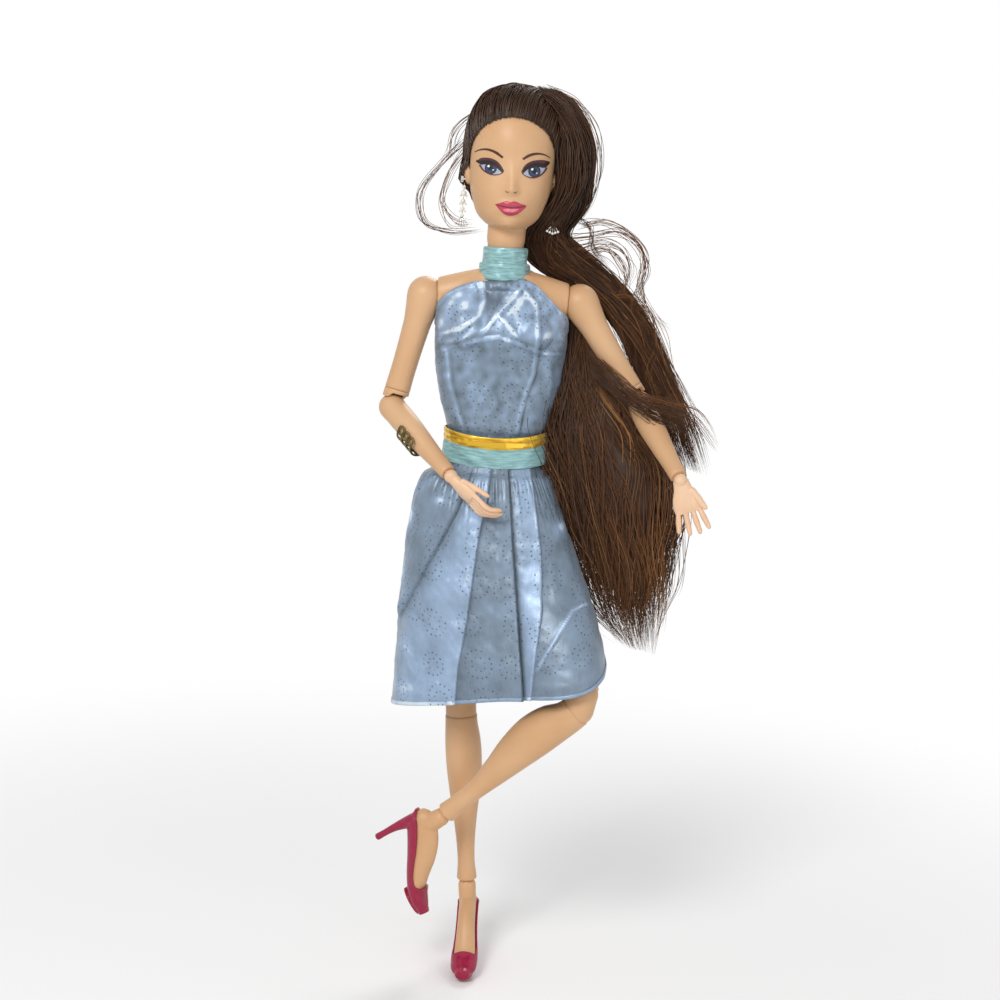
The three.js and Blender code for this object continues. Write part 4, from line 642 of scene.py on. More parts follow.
def forearm(side, place):
    """A ball in the elbow that passes into the forearm."""
    rows = arm_rows(FOREARM, .92, FOREARM_LONG - WRIST_BALL, FOREARM_HALF, FOREARM_HALF, 44)
    rows = np.vstack([dome(ELBOW_BALL, 1.55, 14), [[1.5, 4.47, 4.47]], rows[rows[:, 0] > 3]])
    limb_skin(side, "forearm", place, rim_rows(rows), skin, "elbow_pin")


PALM = [[0, .56, .9], [.25, .66, 1], [.55, .94, 1], [.85, 1.04, .9], [1.02, .98, .62]]
FINGERS = [(-.78, .8, -13), (-.27, .96, -4), (.24, 1, 3), (.74, .92, 10)]
FINGER_ROWS = [[-.12, .9], [.2, .98], [.4, 1.02], [.62, .9], [.85, .8], [.95, .62], [1, .3]]


def finger(length, radius, root, splay, curl, bend):
    """A finger from its root along -Z that curls towards -Y and bends more beyond its middle."""
    rows = smooth_rows(FINGER_ROWS, 20)
    angle = np.radians(curl + bend * ease(rows[:, 0], .3, .8))
    step = np.gradient(rows[:, 0]) * length
    y, z = -np.cumsum(np.sin(angle) * step), -np.cumsum(np.cos(angle) * step)
    a = round_angles(16)
    r = rows[:, 1:] * radius
    rings = np.stack([r * np.cos(a), y[:, None] + r * np.sin(a) * np.cos(angle)[:, None],
                      z[:, None] - r * np.sin(a) * np.sin(angle)[:, None]], -1)
    verts, faces = rings_mesh(rings)
    return verts @ rotation(1, -splay).T + np.asarray(root, float), faces


HANDS = {
    "left": dict(deviation=11.4, roll=0, palm=(10.6, 4.6, 1.7), fingers=(7.2, .98, 1.25), curl=6, bend=10,
                 spread=1.1, thumb=(7.4, 1.15, 20, 6, 4)),
    "right": dict(deviation=6.5, roll=-68, palm=(10.2, 3.4, 1.9), fingers=(10.6, .95, .95), curl=0, bend=50,
                  spread=.05, thumb=(9.6, 1.05, 10, 14, -4)),
}


def hand(side, place, deviation, roll, palm, fingers, curl, bend, spread, thumb):
    """Palm, four fingers and thumb in one skin; see HANDS for each side's form."""
    s = 1 if side == "left" else -1
    rows = smooth_rows(PALM, 14)
    long, half, deep = palm
    parts = [loft(rows * [long, half, deep], 28)]
    for across, length, splay in FINGERS:
        root = (s * across * half, 0, -long + .4)
        parts.append(finger(length * fingers[0], fingers[1], root, s * splay * spread, curl, bend))
    length, radius, splay, curl, bend = thumb
    parts.append(finger(length, radius, (s * half * .55, -.55, -long * .3), s * splay, curl, bend))
    pose = rotation(1, deviation) @ rotation(2, roll)
    parts = [(place(v @ pose.T), f) for v, f in parts]
    parts.append(sphere(2.3, (0, 0, 0), place, 20, 14))
    worn(fused(side + "_hand_skin", parts, hand_skin, 0.2, 6), side + "_hand", "hand_skin", side + "_hand")


# Legs
THIGH = [[0, 1.02, .98, 0], [.12, 1.03, 1, 0], [.25, .98, .98, 0], [.45, .88, .88, -.02],
         [.65, .77, .78, -.03], [.82, .69, .69, -.02], [.94, .68, .66, 0], [1, .68, .64, 0]]
SHIN = [[0, .88, .84, 0], [.06, .9, .86, 0], [.16, .98, 1.04, .2], [.3, 1, 1.12, .32], [.46, .88, .98, .28],
        [.62, .68, .72, .12], [.78, .52, .52, .02], [.9, .48, .48, 0], [1, .56, .54, 0]]
FOOT = [[-.19, .3, .3, .06], [-.16, .28, .62, .13], [-.04, .3, .78, .2], [.12, .38, .8, .22],
        [.3, .53, .84, .2], [.48, .72, .94, .15], [.66, .87, 1.02, .1], [.82, .93, .82, .06],
        [.9, .945, .4, .035]]
THIGH_LONG, THIGH_HALF, THIGH_DEEP, HIP_BALL, CAP_END, THIGH_START = 63.4, 8.3, 8.9, 9.2, 12.9, 13.4
SHIN_LONG, SHIN_HALF, SHIN_DEEP, KNEE_LONG, KNEE_RADIUS = 60, 6.2, 6.6, 5.2, 5.3
FOOT_LONG, FOOT_HALF_WIDTH, FOOT_HIGH, INSTEP_HIGH, ANKLE_RADIUS = 27, 3.7, 23.6, 7.87, 3.1


def limb_rows(table, length, half, deep, n=50):
    """Loft rows of a leg's piece from a table of shares."""
    return smooth_rows(table, n) * [length, half, deep, deep]


def inset(rows, along, by):
    """Rows with a narrower first one before them."""
    return np.vstack([[[along, rows[0, 1] - by, rows[0, 2] - by, 0]], rows])


def leg(side, places):
    """Thigh cap, thigh, knee link, shin and foot."""
    thigh = limb_rows(THIGH, THIGH_LONG, THIGH_HALF, THIGH_DEEP)
    top = thigh[(thigh[:, 0] > 5) & (thigh[:, 0] < CAP_END)]
    ball = np.vstack([dome(HIP_BALL, 1.5, 12), [[3, 9.0, 9.1]]])
    cap = np.vstack([np.column_stack([ball, np.zeros(len(ball))]), top])
    limb_skin(side, "thigh_cap", places["thigh"], rim_rows(cap), leg_skin)
    below = inset(thigh[thigh[:, 0] > THIGH_START], 13.35, .3)
    limb_skin(side, "thigh", places["thigh"], rim_rows(below), leg_skin)
    r = KNEE_RADIUS
    end = [[KNEE_LONG + r * math.sin(q), r * math.cos(q), r * math.cos(q)]
           for q in np.linspace(.02, 1.55, 12)]
    limb_skin(side, "knee", places["knee"], np.vstack([dome(r, 1.56, 12), end]), leg_skin, "knee_pin_upper",
              "knee_pin_lower")
    shin = limb_rows(SHIN, SHIN_LONG, SHIN_HALF, SHIN_DEEP, 60)
    limb_skin(side, "shin", places["shin"], rim_rows(inset(shin[shin[:, 0] > .9], .7, .25)), leg_skin)
    foot(side, places["foot"])


def foot_form(grow=0.0, longer=0.0, sides=32):
    """The foot's closed form in the ankle's frame, grown by an amount."""
    rows = smooth_rows(FOOT, 40)
    ahead = rows[:, 0] * FOOT_LONG
    y, z = -(ahead + longer * ease(ahead, 14, 25)), -rows[:, 1] * FOOT_HIGH
    tangent = unit(np.column_stack([np.gradient(y), np.gradient(z)]))
    a = round_angles(sides)
    half, high = rows[:, 2] * FOOT_HALF_WIDTH + grow, rows[:, 3] * FOOT_HIGH + grow
    ends = np.zeros(len(rows))
    ends[0], ends[-1] = -grow, grow
    y, z = y + ends * tangent[:, 0], z + ends * tangent[:, 1]
    rings = np.stack([
        half[:, None] * np.cos(a), y[:, None] + high[:, None] * np.sin(a) * tangent[:, 1:],
        z[:, None] - high[:, None] * np.sin(a) * tangent[:, :1]], -1)
    return rings_mesh(rings)


def foot(side, place):
    """The bare foot, its instep and its ankle ball in one skin."""
    verts, faces = foot_form()
    form = [[0, 1, 1], [.5, .98, 1.1], [1, .9, 1.3]] * np.array([INSTEP_HIGH, ANKLE_RADIUS, ANKLE_RADIUS])
    instep = loft(form, 24, place)
    parts = [(place(verts), faces), instep, sphere(ANKLE_RADIUS, (0, 0, 0), place)]
    worn(fused(side + "_foot_skin", parts, leg_skin, 0.3, 6), side + "_foot", "skin", side + "_foot")


# The pump's top line in the ankle's frame (y, z): over the toes, low along the side, up to the heel
TOP_LINE = [(-18.6, -15), (-18.2, -17.6), (-16.6, -18.9), (-14, -18.4), (-11, -16.6), (-7, -13.4),
            (-3, -10.4), (0, -8.5), (3, -6.9), (5.5, -6.2), (10, -6.2)]
# The heel as it goes down: along, half width, half depth, and its shift towards the back
HEEL = [(8.0, 2.7, 2.9, 3.1), (10.5, 2.5, 2.6, 3.5), (13, 1.9, 2.0, 4.1), (17, 1.35, 1.4, 4.6),
        (22, 1.15, 1.15, 4.7), (24.1, 1.2, 1.2, 4.7), (24.7, 1.15, 1.15, 4.7)]
SOLE_LEVEL, SOLE_HALF_THICK, SOLE_HALF_WIDTH, SOLE_MIDDLE, SOLE_REACH = -24.05, .65, 3.2, -20.0, 5.2


def shoe(side, place):
    """A pump: the foot's form grown, with heel and sole, cut out for the foot above its top line."""
    outline = np.vstack([smooth_line(TOP_LINE, 40), [(10, 14), (-18.6, 14)]])
    opening = rings_mesh(np.stack([np.column_stack([np.full(len(outline), x), outline]) for x in (-9, 9)]))
    rows = smooth_rows(HEEL, 24)
    heel = loft(rows, 28)
    y = np.linspace(-25.0, -15.0, 24)
    wide = SOLE_HALF_WIDTH * np.sqrt(np.maximum(1 - ((y - SOLE_MIDDLE) / SOLE_REACH) ** 2, .02)) ** .8
    a = round_angles(28)
    level = np.tile(SOLE_LEVEL + SOLE_HALF_THICK * np.sin(a), (24, 1))
    sole = rings_mesh(np.stack([wide[:, None] * np.cos(a), np.repeat(y[:, None], 28, 1), level], -1))
    ankle = loft([[-4, 3.4, 3.4], [0, 3.4, 3.4], [INSTEP_HIGH, 2.95, 4.1]], 24)
    parts = [(place(v), f) for v, f in (foot_form(.85, .6, 48), heel, sole)]
    obj = fused(side + "_shoe_body", parts, pump, 0.22, 3)
    for verts, faces in (opening, foot_form(.1), ankle):
        obj = carved(obj, [(place(verts), faces)])
    worn(obj, side + "_foot", "shoe", side + "_shoe")


CUFF_RADIUS, CUFF_ALONG, CUFF_GAP = 5.15, -15.5, 84
LOOPS, LOOP_HALF_LONG, LOOP_HALF_HIGH, WIRE, RAIL = 7, 1.62, 1.22, .3, .26


def bracelet_loops(place):
    """An open cuff of oval wire loops, three rows along the forearm, between four rails."""
    gap = place.r.T @ unit([.75, -.55, .35])
    middle = math.atan2(gap[1], gap[0])

    def on_cuff(turn, along):
        level = CUFF_ALONG + along + 0 * turn
        return np.column_stack([CUFF_RADIUS * np.cos(turn), CUFF_RADIUS * np.sin(turn), level])

    parts = []
    for row in (-2.75, 0, 2.75):
        for k in range(LOOPS):
            about = middle + math.radians(CUFF_GAP + (k + .5) * (360 - 2 * CUFF_GAP) / LOOPS)
            q = round_angles(24)
            loop = on_cuff(about + LOOP_HALF_LONG / CUFF_RADIUS * np.cos(q), row + LOOP_HALF_HIGH * np.sin(q))
            parts.append(tube(np.vstack([loop, loop[:2]]), WIRE))
        for end in (CUFF_GAP, 360 - CUFF_GAP):
            at = on_cuff(np.array([middle + math.radians(end)]), row)[0]
            parts.append(sphere(.5, at, sides=12, rings=8))
    for row in (-4.1, -1.375, 1.375, 4.1):
        parts.append(tube(on_cuff(middle + np.radians(np.linspace(CUFF_GAP, 360 - CUFF_GAP, 60)), row), RAIL))
    verts, faces = joined(parts)
    worn(make("bracelet_loops", place(verts), faces, antique), "bracelet", "bracelet_metal", "bracelet")


for side in ("left", "right"):
    places = limb_places(side)
    upper_arm(side, places["upper_arm"])
    elbow_cup(side, places["elbow"])
    forearm(side, places["forearm"])
    hand(side, places["hand"], **HANDS[side])
    leg(side, places)
    shoe(side, places["foot"])
    if side == "right":
        bracelet_loops(places["forearm"])
    for piece in ("shoulder_hub", "wrist_peg", "hip_hub", "ankle_peg"):
        dress_node(side + "_" + piece, inner)
    dress_node(side + "_ear_stud", silver)
for piece in ("waist_pivot", "neck_knob", "neck_plug"):
    dress_node(piece, inner)
dress_node("bodice_closure", closure)

# Head
HEAD_TURN = math.radians(1.8)
HEAD_BASE, HEAD_HIGH, HEAD_HALF, HEAD_FRONT, HEAD_BACK, HEAD_MIDDLE = 71.6, 43.6, 14.1, 14.6, 14.2, -.8
head_place = Place(NECK_PIVOT, (math.cos(HEAD_TURN), 0, -math.sin(HEAD_TURN)), (0, 1, 0), axis("head_turn"))
HEAD = [
    [0, .22, .5, -.3], [.02, .43, .68, -.16], [.05, .58, .78, 0], [.1, .73, .86, .2], [.18, .84, .92, .48],
    [.3, .95, .95, .78], [.42, .98, .96, .94], [.52, 1, .95, 1], [.62, 1.01, .97, 1.04],
    [.74, .97, .94, 1.02], [.85, .84, .8, .9], [.93, .64, .6, .68], [.98, .34, .32, .38], [1, .04, .04, .04],
]


def at_head(points):
    """Points of the upright head, in the row frame."""
    return head_place(np.asarray(points, float) - NECK_PIVOT)


def head_rings(levels=150, sides=220, grow=0.0):
    """The skull as ovals, each with its own depth in front and behind, grown by an amount."""
    rows = smooth_rows(HEAD, levels)
    a = round_angles(sides)
    z = (HEAD_BASE - grow) + (HEAD_HIGH + 2 * grow) * rows[:, 0]
    depth = np.where(np.sin(a)[None, :] < 0, HEAD_FRONT * rows[:, 2:3], HEAD_BACK * rows[:, 3:4]) + grow
    return np.stack([(HEAD_HALF * rows[:, 1:2] + grow) * np.cos(a), HEAD_MIDDLE + depth * np.sin(a),
                     np.repeat(z[:, None], sides, 1)], -1)


FACE_X, NECK_SOCKET = .6, 6.4
EAR, EAR_HALF_HIGH, EAR_SCALE = (13.6, .6, 88.7), 3.6, (2.3 / 3.6, 2.6 / 3.6, 1)
# Soft bumps of the face: how far beside its middle, height, half width, half height and how far out
FACE = [
    (0, 84.4, 1.8, 1.9, 1.75), (0, 87.6, 1.8, 2.8, .95), (0, 91.5, 2.1, 2.8, .35), (1.7, 83.7, 1, 1, .42),
    (7.2, 91.4, 3.6, 2.6, -1.2), (7.3, 90.8, 2.4, 1.7, .65), (0, 78.4, 4.2, 2.6, .9),
    (0, 79.9, 3.1, .65, .45), (0, 77.4, 2.6, .75, .55), (0, 75.6, 3, .8, -.35), (0, 72.8, 2.8, 1.6, .8),
    (8.2, 83.5, 4, 3.6, .55), (0, 99, 8, 5, .4),
]


def with_face(p):
    """Pushes the front of the head out (negative Y) by the bumps of the face."""
    front = np.clip((-p[..., 1] - 1) / 8, 0, 1)
    for away, z, wide, high, amount in FACE:
        for x in sorted({FACE_X - away, FACE_X + away}):
            away_squared = ((p[..., 0] - x) / wide) ** 2 + ((p[..., 2] - z) / high) ** 2
            p[..., 1] -= amount * front * np.exp(-away_squared)
    return p


skull, skull_faces = rings_mesh(with_face(head_rings()))
head_parts = [(at_head(skull), skull_faces)]
for s in (1, -1):
    ear, ear_faces = sphere(EAR_HALF_HIGH, (s * EAR[0], *EAR[1:]), scale=EAR_SCALE)
    head_parts.append((at_head(ear), ear_faces))
head_parts.append(sphere(NECK_SOCKET, (0, 0, 0), head_place))
head_parts.append(loft([[along, NECK_SOCKET, NECK_SOCKET] for along in (-9, -4, 0)], 48, head_place))
head = worn(fused("head_skin", head_parts, skin, 0.28, 4), "head", "skin", "head")
head_tree = tree_of(head)

DROP_OUT, DROP_DEPTH, DROP_FAN = 15.27, -.6, 70.9
# Pearls of a drop: aside, height and radius
PEARLS = [(0, 84.3, .62), (0, 82.2, .95), (-.95, 81.4, .42), (.95, 81.4, .42), (0, 79.6, .8),
          (-.85, 78.7, .42), (.85, 78.7, .42), (0, 77.2, .7), (-.8, 76.3, .4), (.8, 76.3, .4), (0, 74.9, .62)]


def ear_drop(side):
    """A chandelier drop: a wire with pearls in clusters and a small fan at its end."""
    x, y = (DROP_OUT if side == "left" else -DROP_OUT), DROP_DEPTH
    wires, pearls = [tube([(x, y, 85.6), (x, y, 80), (x, y, 74.2)], .16)], list(PEARLS)
    for k in (-2, -1, 0, 1, 2):
        lean = k * .62
        tip = DROP_FAN + .35 * abs(k) + .5
        wires.append(tube([(x, y, 74.8), (x + lean * .9, y, 73.2), (x + lean * 1.45, y, tip)], .13))
        pearls.append((lean * 1.45, tip, .44))
    beads = [sphere(r, (x + aside, y, z), sides=16, rings=10) for aside, z, r in pearls]
    for name, parts, finish in (("wires", wires, silver), ("pearls", beads, pearl)):
        verts, faces = joined([(at_head(v), f) for v, f in parts])
        obj = make(side + "_ear_drop_" + name, verts, faces, finish)
        worn(obj, side + "_drop", "ear_metal", side + "_ear_drop")


for side in ("left", "right"):
    ear_drop(side)


def on_head(px, py, lift):
    """Where the sight line through a picture point meets the head, lifted off it."""
    hit, normal, _, _ = head_tree.ray_cast(Vector(CAM_AT), Vector(unit(ray(px, py))))
    if hit is None:
        return at_depth(px, py, -12)
    return np.array(hit) + np.array(normal) * lift


def on_face(name, grid, material, wrap):
    """A thin painted piece of the face over a grid of points."""
    verts, faces = rings_mesh(grid, close_ends=False, wrap=wrap)
    worn(make(name, verts, faces, material), "head", "skin")


def painted(name, outline, material, lift, rows=10):
    """A patch inside a closed outline of picture points."""
    edge = smooth_line(list(outline) + [outline[0]], 64)[:-1]
    middle = edge.mean(0)
    grid = [[on_head(*(middle + (q - middle) * k / rows), lift) for q in edge] for k in range(rows + 1)]
    on_face(name, grid, material, True)


def stroke(name, line, widths, material, lift, steps=40):
    """A line along picture points, with widths in pixels spread along it."""
    path = smooth_line(line, steps)
    w = np.interp(np.linspace(0, 1, steps), np.linspace(0, 1, len(widths)), widths)
    tangent = unit(np.gradient(path, axis=0))
    normal = np.column_stack([-tangent[:, 1], tangent[:, 0]])
    across = (-1, -.5, 0, .5, 1)
    grid = [[on_head(*(p + n * half * k), lift) for k in across] for p, n, half in zip(path, normal, w / 2)]
    on_face(name, grid, material, False)


# The eye whites are grey rather than white: painted shade under the lids and lashes.
shaded_white_paint = paint_material("eye_white", "#B4B9C4", "#959CAC", 0.25)
iris_paint = paint_material("iris", "#42547A", "#202A46", 0.2, 1500)
dark_paint = paint_material("lash", "#22130F", "#150B0B", 0.4)
brow_paint = paint_material("brow", "#56301E", "#3F2216", 0.5)
lip_paint = paint_material("lips", "#C4465C", "#AB394E", 0.25)
lip_line_paint = paint_material("lip_line", "#7E2236", "#64182A", 0.3)
lip_highlight_paint = paint_material("lip_light", "#E0848E", "#D2707E", 0.2)
plum_paint = paint_material("shadow", "#5C353B", "#40212A", 0.45)
nostril_shade_paint = paint_material("nostril", "#94684A", "#7E553B", 0.5)
shine_paint = paint_material("catchlight", "#FFFFFF", "#E8ECF6", 0.2)


def ring(cx, cy, r, n=16):
    """A circle of picture points."""
    return [(cx + r * math.cos(q), cy + r * math.sin(q)) for q in round_angles(n)]


# Each eye in picture points
EYES = {
    "right": {
        "shadow": [(476.5, 161.5), (480, 158.4), (487, 157.6), (495, 159.8), (500.5, 164.5), (503.8, 172),
                   (500.5, 170.5), (495, 166.5), (488, 164.2), (481.5, 164)],
        "white": [(480, 164), (484, 163), (488, 162.9), (494, 164.8), (499.5, 169.4), (502.2, 172.8),
                  (499, 174), (493, 174), (487.5, 172), (483, 168.5)],
        "upper": [(476.6, 160.6), (481, 162.4), (487, 162.2), (494, 164.2), (499.6, 168.6), (503, 173)],
        "upper_width": [1.8, 4.2, 4.2, 3.8, 2.8, 1.1],
        "lower": [(480, 164.8), (483, 169.4), (487.5, 172.8), (493, 174.8), (499, 174.5), (502.4, 173)],
        "lower_width": [1.8, 1.6, 1.3, 1.1, .8, .6],
        "iris": (491, 168, 6.1),
    },
    "left": {
        "shadow": [(521, 172.5), (524.5, 165.6), (531, 161.4), (539, 160), (545.5, 160.4), (549.8, 162),
                   (545, 166.5), (539, 165.7), (532, 166.7), (526, 170.2)],
        "white": [(522.8, 173.8), (526.4, 169.4), (531.4, 167), (538, 166), (543, 166.8), (546, 167),
                  (543.8, 171), (539.5, 174.8), (533, 177), (527, 176)],
        "upper": [(522, 174), (525.5, 169.2), (531.2, 166), (538, 164.8), (544, 165.6), (549, 162.2)],
        "upper_width": [1.1, 2.8, 3.8, 4.2, 4.2, 1.8],
        "lower": [(523, 174.4), (527, 176.8), (533, 177.9), (539.6, 175.6), (544, 171.6), (546.6, 167.4)],
        "lower_width": [.6, .8, 1.1, 1.3, 1.6, 1.8],
        "iris": (534.2, 171.2, 6.2),
    },
}
# Each brow in picture points, with its widths
BROWS = {
    "right": ([(474.5, 152), (480, 149.8), (487, 149.4), (495, 152), (503, 157.7)], [.8, 1.6, 2.3, 2.8, 2.2]),
    "left": ([(522.8, 159.2), (530, 155.2), (538, 153.7), (545, 155), (550, 157.8)],
             [2.2, 2.8, 2.3, 1.5, .8]),
}
# The mouth, and the painted shadows in the nostrils, in picture points
UPPER_LIP = [(495, 204.2), (501, 202.8), (506.5, 201), (510, 202.4), (514, 201.4), (520, 203.4), (526.4, 206),
             (519, 208), (510, 208.4), (502, 207)]
LOWER_LIP = [(495.6, 204.8), (502, 206.6), (510, 208), (519, 207.6), (526, 206.4), (521.5, 211.4),
             (514.5, 215.2), (506.5, 215), (500.5, 211)]
# A lighter pink patch on the lower lip: a painted highlight
LIP_HIGHLIGHT = [(503, 209.2), (508, 208.9), (514, 209.3), (518.5, 209.2), (515, 211.6), (509, 212), (505, 211.2)]
LIP_LINE = [(495.5, 204.6), (503, 206.4), (510, 207.7), (518, 207.3), (526, 206.2)]
NOSTRIL_SHADOWS = {"right": [(505.3, 190.8), (507, 192.2), (509, 191.8)],
            "left": [(513.6, 192.2), (515.4, 192.8), (517, 191.6)]}
for side, e in EYES.items():
    painted(side + "_shadow", e["shadow"], plum_paint, .05)
    painted(side + "_eye_white", e["white"], shaded_white_paint, .08)
    cx, cy, r = e["iris"]
    painted(side + "_iris_rim", ring(cx, cy, r), dark_paint, .11)
    painted(side + "_iris", ring(cx, cy + .2, r * .82), iris_paint, .13)
    painted(side + "_pupil", ring(cx, cy, r * .42), dark_paint, .15)
    painted(side + "_catchlight", ring(cx - 2.2, cy - 1.8, 1.15, 10), shine_paint, .17)
    painted(side + "_catchlight_low", ring(cx + 2.3, cy + 2, .65, 10), shine_paint, .17)
    stroke(side + "_lash", e["upper"], e["upper_width"], dark_paint, .19)
    stroke(side + "_lower_lash", e["lower"], e["lower_width"], plum_paint, .19)
for side, (line, widths) in BROWS.items():
    stroke(side + "_brow", line, widths, brow_paint, .08)
painted("upper_lip", UPPER_LIP, lip_paint, .08)
painted("lower_lip", LOWER_LIP, lip_paint, .09)
painted("lip_light", LIP_HIGHLIGHT, lip_highlight_paint, .12)
stroke("lip_line", LIP_LINE, [.7, 1.2, 1.4, 1.2, .7], lip_line_paint, .14)
# dark strokes of painted shade in the nostrils
for side, line in NOSTRIL_SHADOWS.items():
    stroke(side + "_nostril", line, [.7, 1.3, .7], nostril_shade_paint, .06)

# Hair
def strands(name, paths, radius, tone, holder, *nodes):
    """One mesh of many tapered strands: paths is (count, steps, 3), holder is a body or a blend's terms."""
    count, steps, _ = paths.shape
    sides = 3
    tangent = unit(np.gradient(paths, axis=1))
    u = unit(np.cross(tangent, [.21, -.9, .38]))
    v = np.cross(tangent, u)
    a = round_angles(sides)
    t = np.linspace(0, 1, steps)
    taper = np.minimum(1, t / .04 + .15) * np.minimum(1, (1 - t) / .3) ** .6 + .05
    rings = paths[:, :, None] + (radius * taper)[:, None, None] * (
        np.cos(a)[:, None] * u[:, :, None] + np.sin(a)[:, None] * v[:, :, None])
    base = (np.arange(count) * steps * sides)[:, None, None]
    i, j = np.arange(steps - 1)[None, :, None], np.arange(sides)[None, None, :]
    k = (j + 1) % sides
    faces = np.stack(np.broadcast_arrays(
        base + i * sides + j, base + i * sides + k,
        base + (i + 1) * sides + k, base + (i + 1) * sides + j), -1)
    tone = np.broadcast_to(np.clip(tone, 0, 1), (count, steps)).ravel()
    obj = make(name, rings.reshape(-1, 3), faces.reshape(-1, 4).tolist(), hair,
               attributes={"tone": np.repeat(tone, sides)})
    worn(obj, holder, "hair", *nodes)


def between(points):
    """Rows of a swept oval from picture points: left edge, right edge, depth and half depth."""
    rows = []
    for k, (lx, ly, rx, ry, y, deep) in enumerate(points):
        left, right = at_depth(lx, ly, y), at_depth(rx, ry, y)
        rows.append([k / (len(points) - 1), *((left + right) / 2), *((right - left) / 2), 0, deep, 0])
    return np.array(rows)


def bundle(rows, clumps, each, seed, steps=30, wave=1.1, turns=(3, 6), loose=.13, fill=.93, stop=(.8, 1.0),
           begin=(0, .05), tone=.33, lighter=.18, spread=.13):
    """Wavy strand paths in clumps that fill a swept oval, with a tone along each strand."""
    g = np.random.default_rng(seed)
    paths, shades = [], []
    for _ in range(clumps):
        r, q = math.sqrt(g.random()) * fill, g.random() * 2 * math.pi
        a, b = r * math.cos(q), r * math.sin(q)
        phase, speed = g.random(2) * 6.28, g.uniform(*turns, 2) * 2 * math.pi
        # each clump's tone varies at random, is lighter to the right and darker towards the back, the last as
        # painted shade
        end, shade = g.uniform(*stop), g.normal(tone, spread) + .08 * a - .1 * b
        start, high = g.uniform(*begin), wave * g.uniform(.5, 1.3)
        for _ in range(each):
            t = np.linspace(start, min(1, end + g.normal() * .03), steps)
            c = smooth_rows(rows, t)[:, 1:]
            across, deep = c[:, 3:6], c[:, 6:9]
            small = g.normal(size=2) * loose
            sway = high * np.sin(t[:, None] * speed + phase + g.normal(size=2) * .35)
            sway *= np.minimum(1, .3 + 2 * t[:, None])
            size = np.linalg.norm(across, axis=1, keepdims=True)
            path = c[:, :3] + (a + small[0]) * across + (b + small[1]) * deep + sway[:, :1] * across / size
            path[:, 1] += .6 * sway[:, 1]
            paths.append(path)
            shades.append(shade + g.normal() * .09 + lighter * (t - .5))
    return np.array(paths), np.array(shades)


def core(rows, share):
    """A body inside a bundle, so that it isn't seen through; it is dark, as painted shade inside the hair."""
    rows = smooth_rows(rows, 40)[:, 1:]
    a = round_angles(24)[None, :, None]
    around = np.cos(a) * rows[:, None, 3:6] + np.sin(a) * rows[:, None, 6:9]
    t = np.linspace(0, 1, 40)
    tip = np.clip(np.minimum(t * 6, (1 - t) * 4), .02, 1)[:, None, None]
    return rings_mesh(rows[:, None, :3] + share * tip * around)


NECK_BLEND = ("head", "neck_plug", (0, 0, .085), (0, 0, .045))
# left edge, right edge (picture points), depth, half depth
FALL = between([
    (506, 90, 550, 86, 4, 8), (534, 110, 574, 104, 4, 9), (555, 138, 589, 134, 3, 9),
    (557, 165, 594, 162, 2, 9), (553, 190, 591, 187, 2, 8), (542, 213, 584, 209, 3, 7),
    (528, 234, 568, 233, 6, 5), (527, 250, 580, 248, 9, 4.5), (537, 267, 597, 264, 11, 4),
    (560, 282, 618, 283, 12, 3.5), (588, 298, 638, 307, 12.5, 3.5), (610, 320, 654, 332, 13, 3.5),
    (626, 348, 667, 358, 13, 3.5), (638, 384, 682, 392, 12, 3), (652, 424, 700, 430, 9, 3),
    (668, 462, 712, 478, 7, 2.5)])
LOCK = between([
    (530, 246, 566, 244, 11, 3), (548, 270, 590, 268, 13, 3), (560, 296, 594, 296, 12, 3),
    (568, 318, 588, 320, 9, 3), (561, 344, 597, 345, 6, 4), (553, 368, 610, 368, 3, 5),
    (547, 396, 634, 397, 1, 6), (540, 420, 646, 420, 0, 6.5), (540, 441, 655, 440, -1, 7),
    (545, 466, 668, 463, -2, 7), (551, 492, 675, 490, -3, 7), (559, 522, 676, 520, -3, 6.5),
    (570, 556, 673, 550, -3, 6), (580, 590, 670, 585, -3, 5), (596, 617, 664, 612, -2, 4),
    (622, 645, 654, 655, 0, 2)])
OVER_ARM = between([(584, 356, 600, 356, -3, 2), (596, 378, 618, 374, -9, 2),
                    (622, 402, 644, 394, -12.6, 1.5), (652, 422, 672, 402, -13, 1.5),
                    (680, 432, 700, 412, -9, 2), (700, 462, 724, 446, -4, 2)])

paths, shade = bundle(FALL, 130, 11, 21, 46, wave=.9, stop=(.74, 1.0), begin=(0, .04), tone=.27, lighter=.35)
strands("hair_fall_strands", paths, .2, shade, NECK_BLEND, "hair_fall")
paths, shade = bundle(LOCK, 250, 11, 22, 46, wave=2.2, turns=(1.8, 4), loose=.12, fill=.97, stop=(.62, 1.0),
                      begin=(.02, .25), tone=.42, lighter=.3, spread=.14)
strands("hair_lock_strands", paths, .16, shade, NECK_BLEND, "hair_lock")
wisps = [bundle(FALL, 26, 4, 23, 36, wave=2.2, turns=(2, 4), loose=.3, fill=1.15, begin=(.4, .7), tone=.6),
         bundle(LOCK, 70, 4, 24, 36, wave=2.8, turns=(1.5, 3.5), loose=.3, fill=1.12, stop=(.7, 1.0),
                begin=(.2, .6), tone=.52),
         bundle(OVER_ARM, 16, 6, 25, 36, wave=1.0, turns=(1, 2.4), loose=.25, stop=(.6, 1.0), begin=(0, .15),
                tone=.5)]
paths, shade = (np.concatenate(q) for q in zip(*wisps))
strands("hair_wisps", paths, .1, shade, NECK_BLEND)
# tone 0, the darkest hair colour: painted shade inside the hair
verts, faces = joined([core(FALL[:14], .8), core(LOCK[:15], .84)])
worn(make("hair_core", verts, faces, hair, attributes={"tone": np.zeros(len(verts))}), NECK_BLEND, "hair")

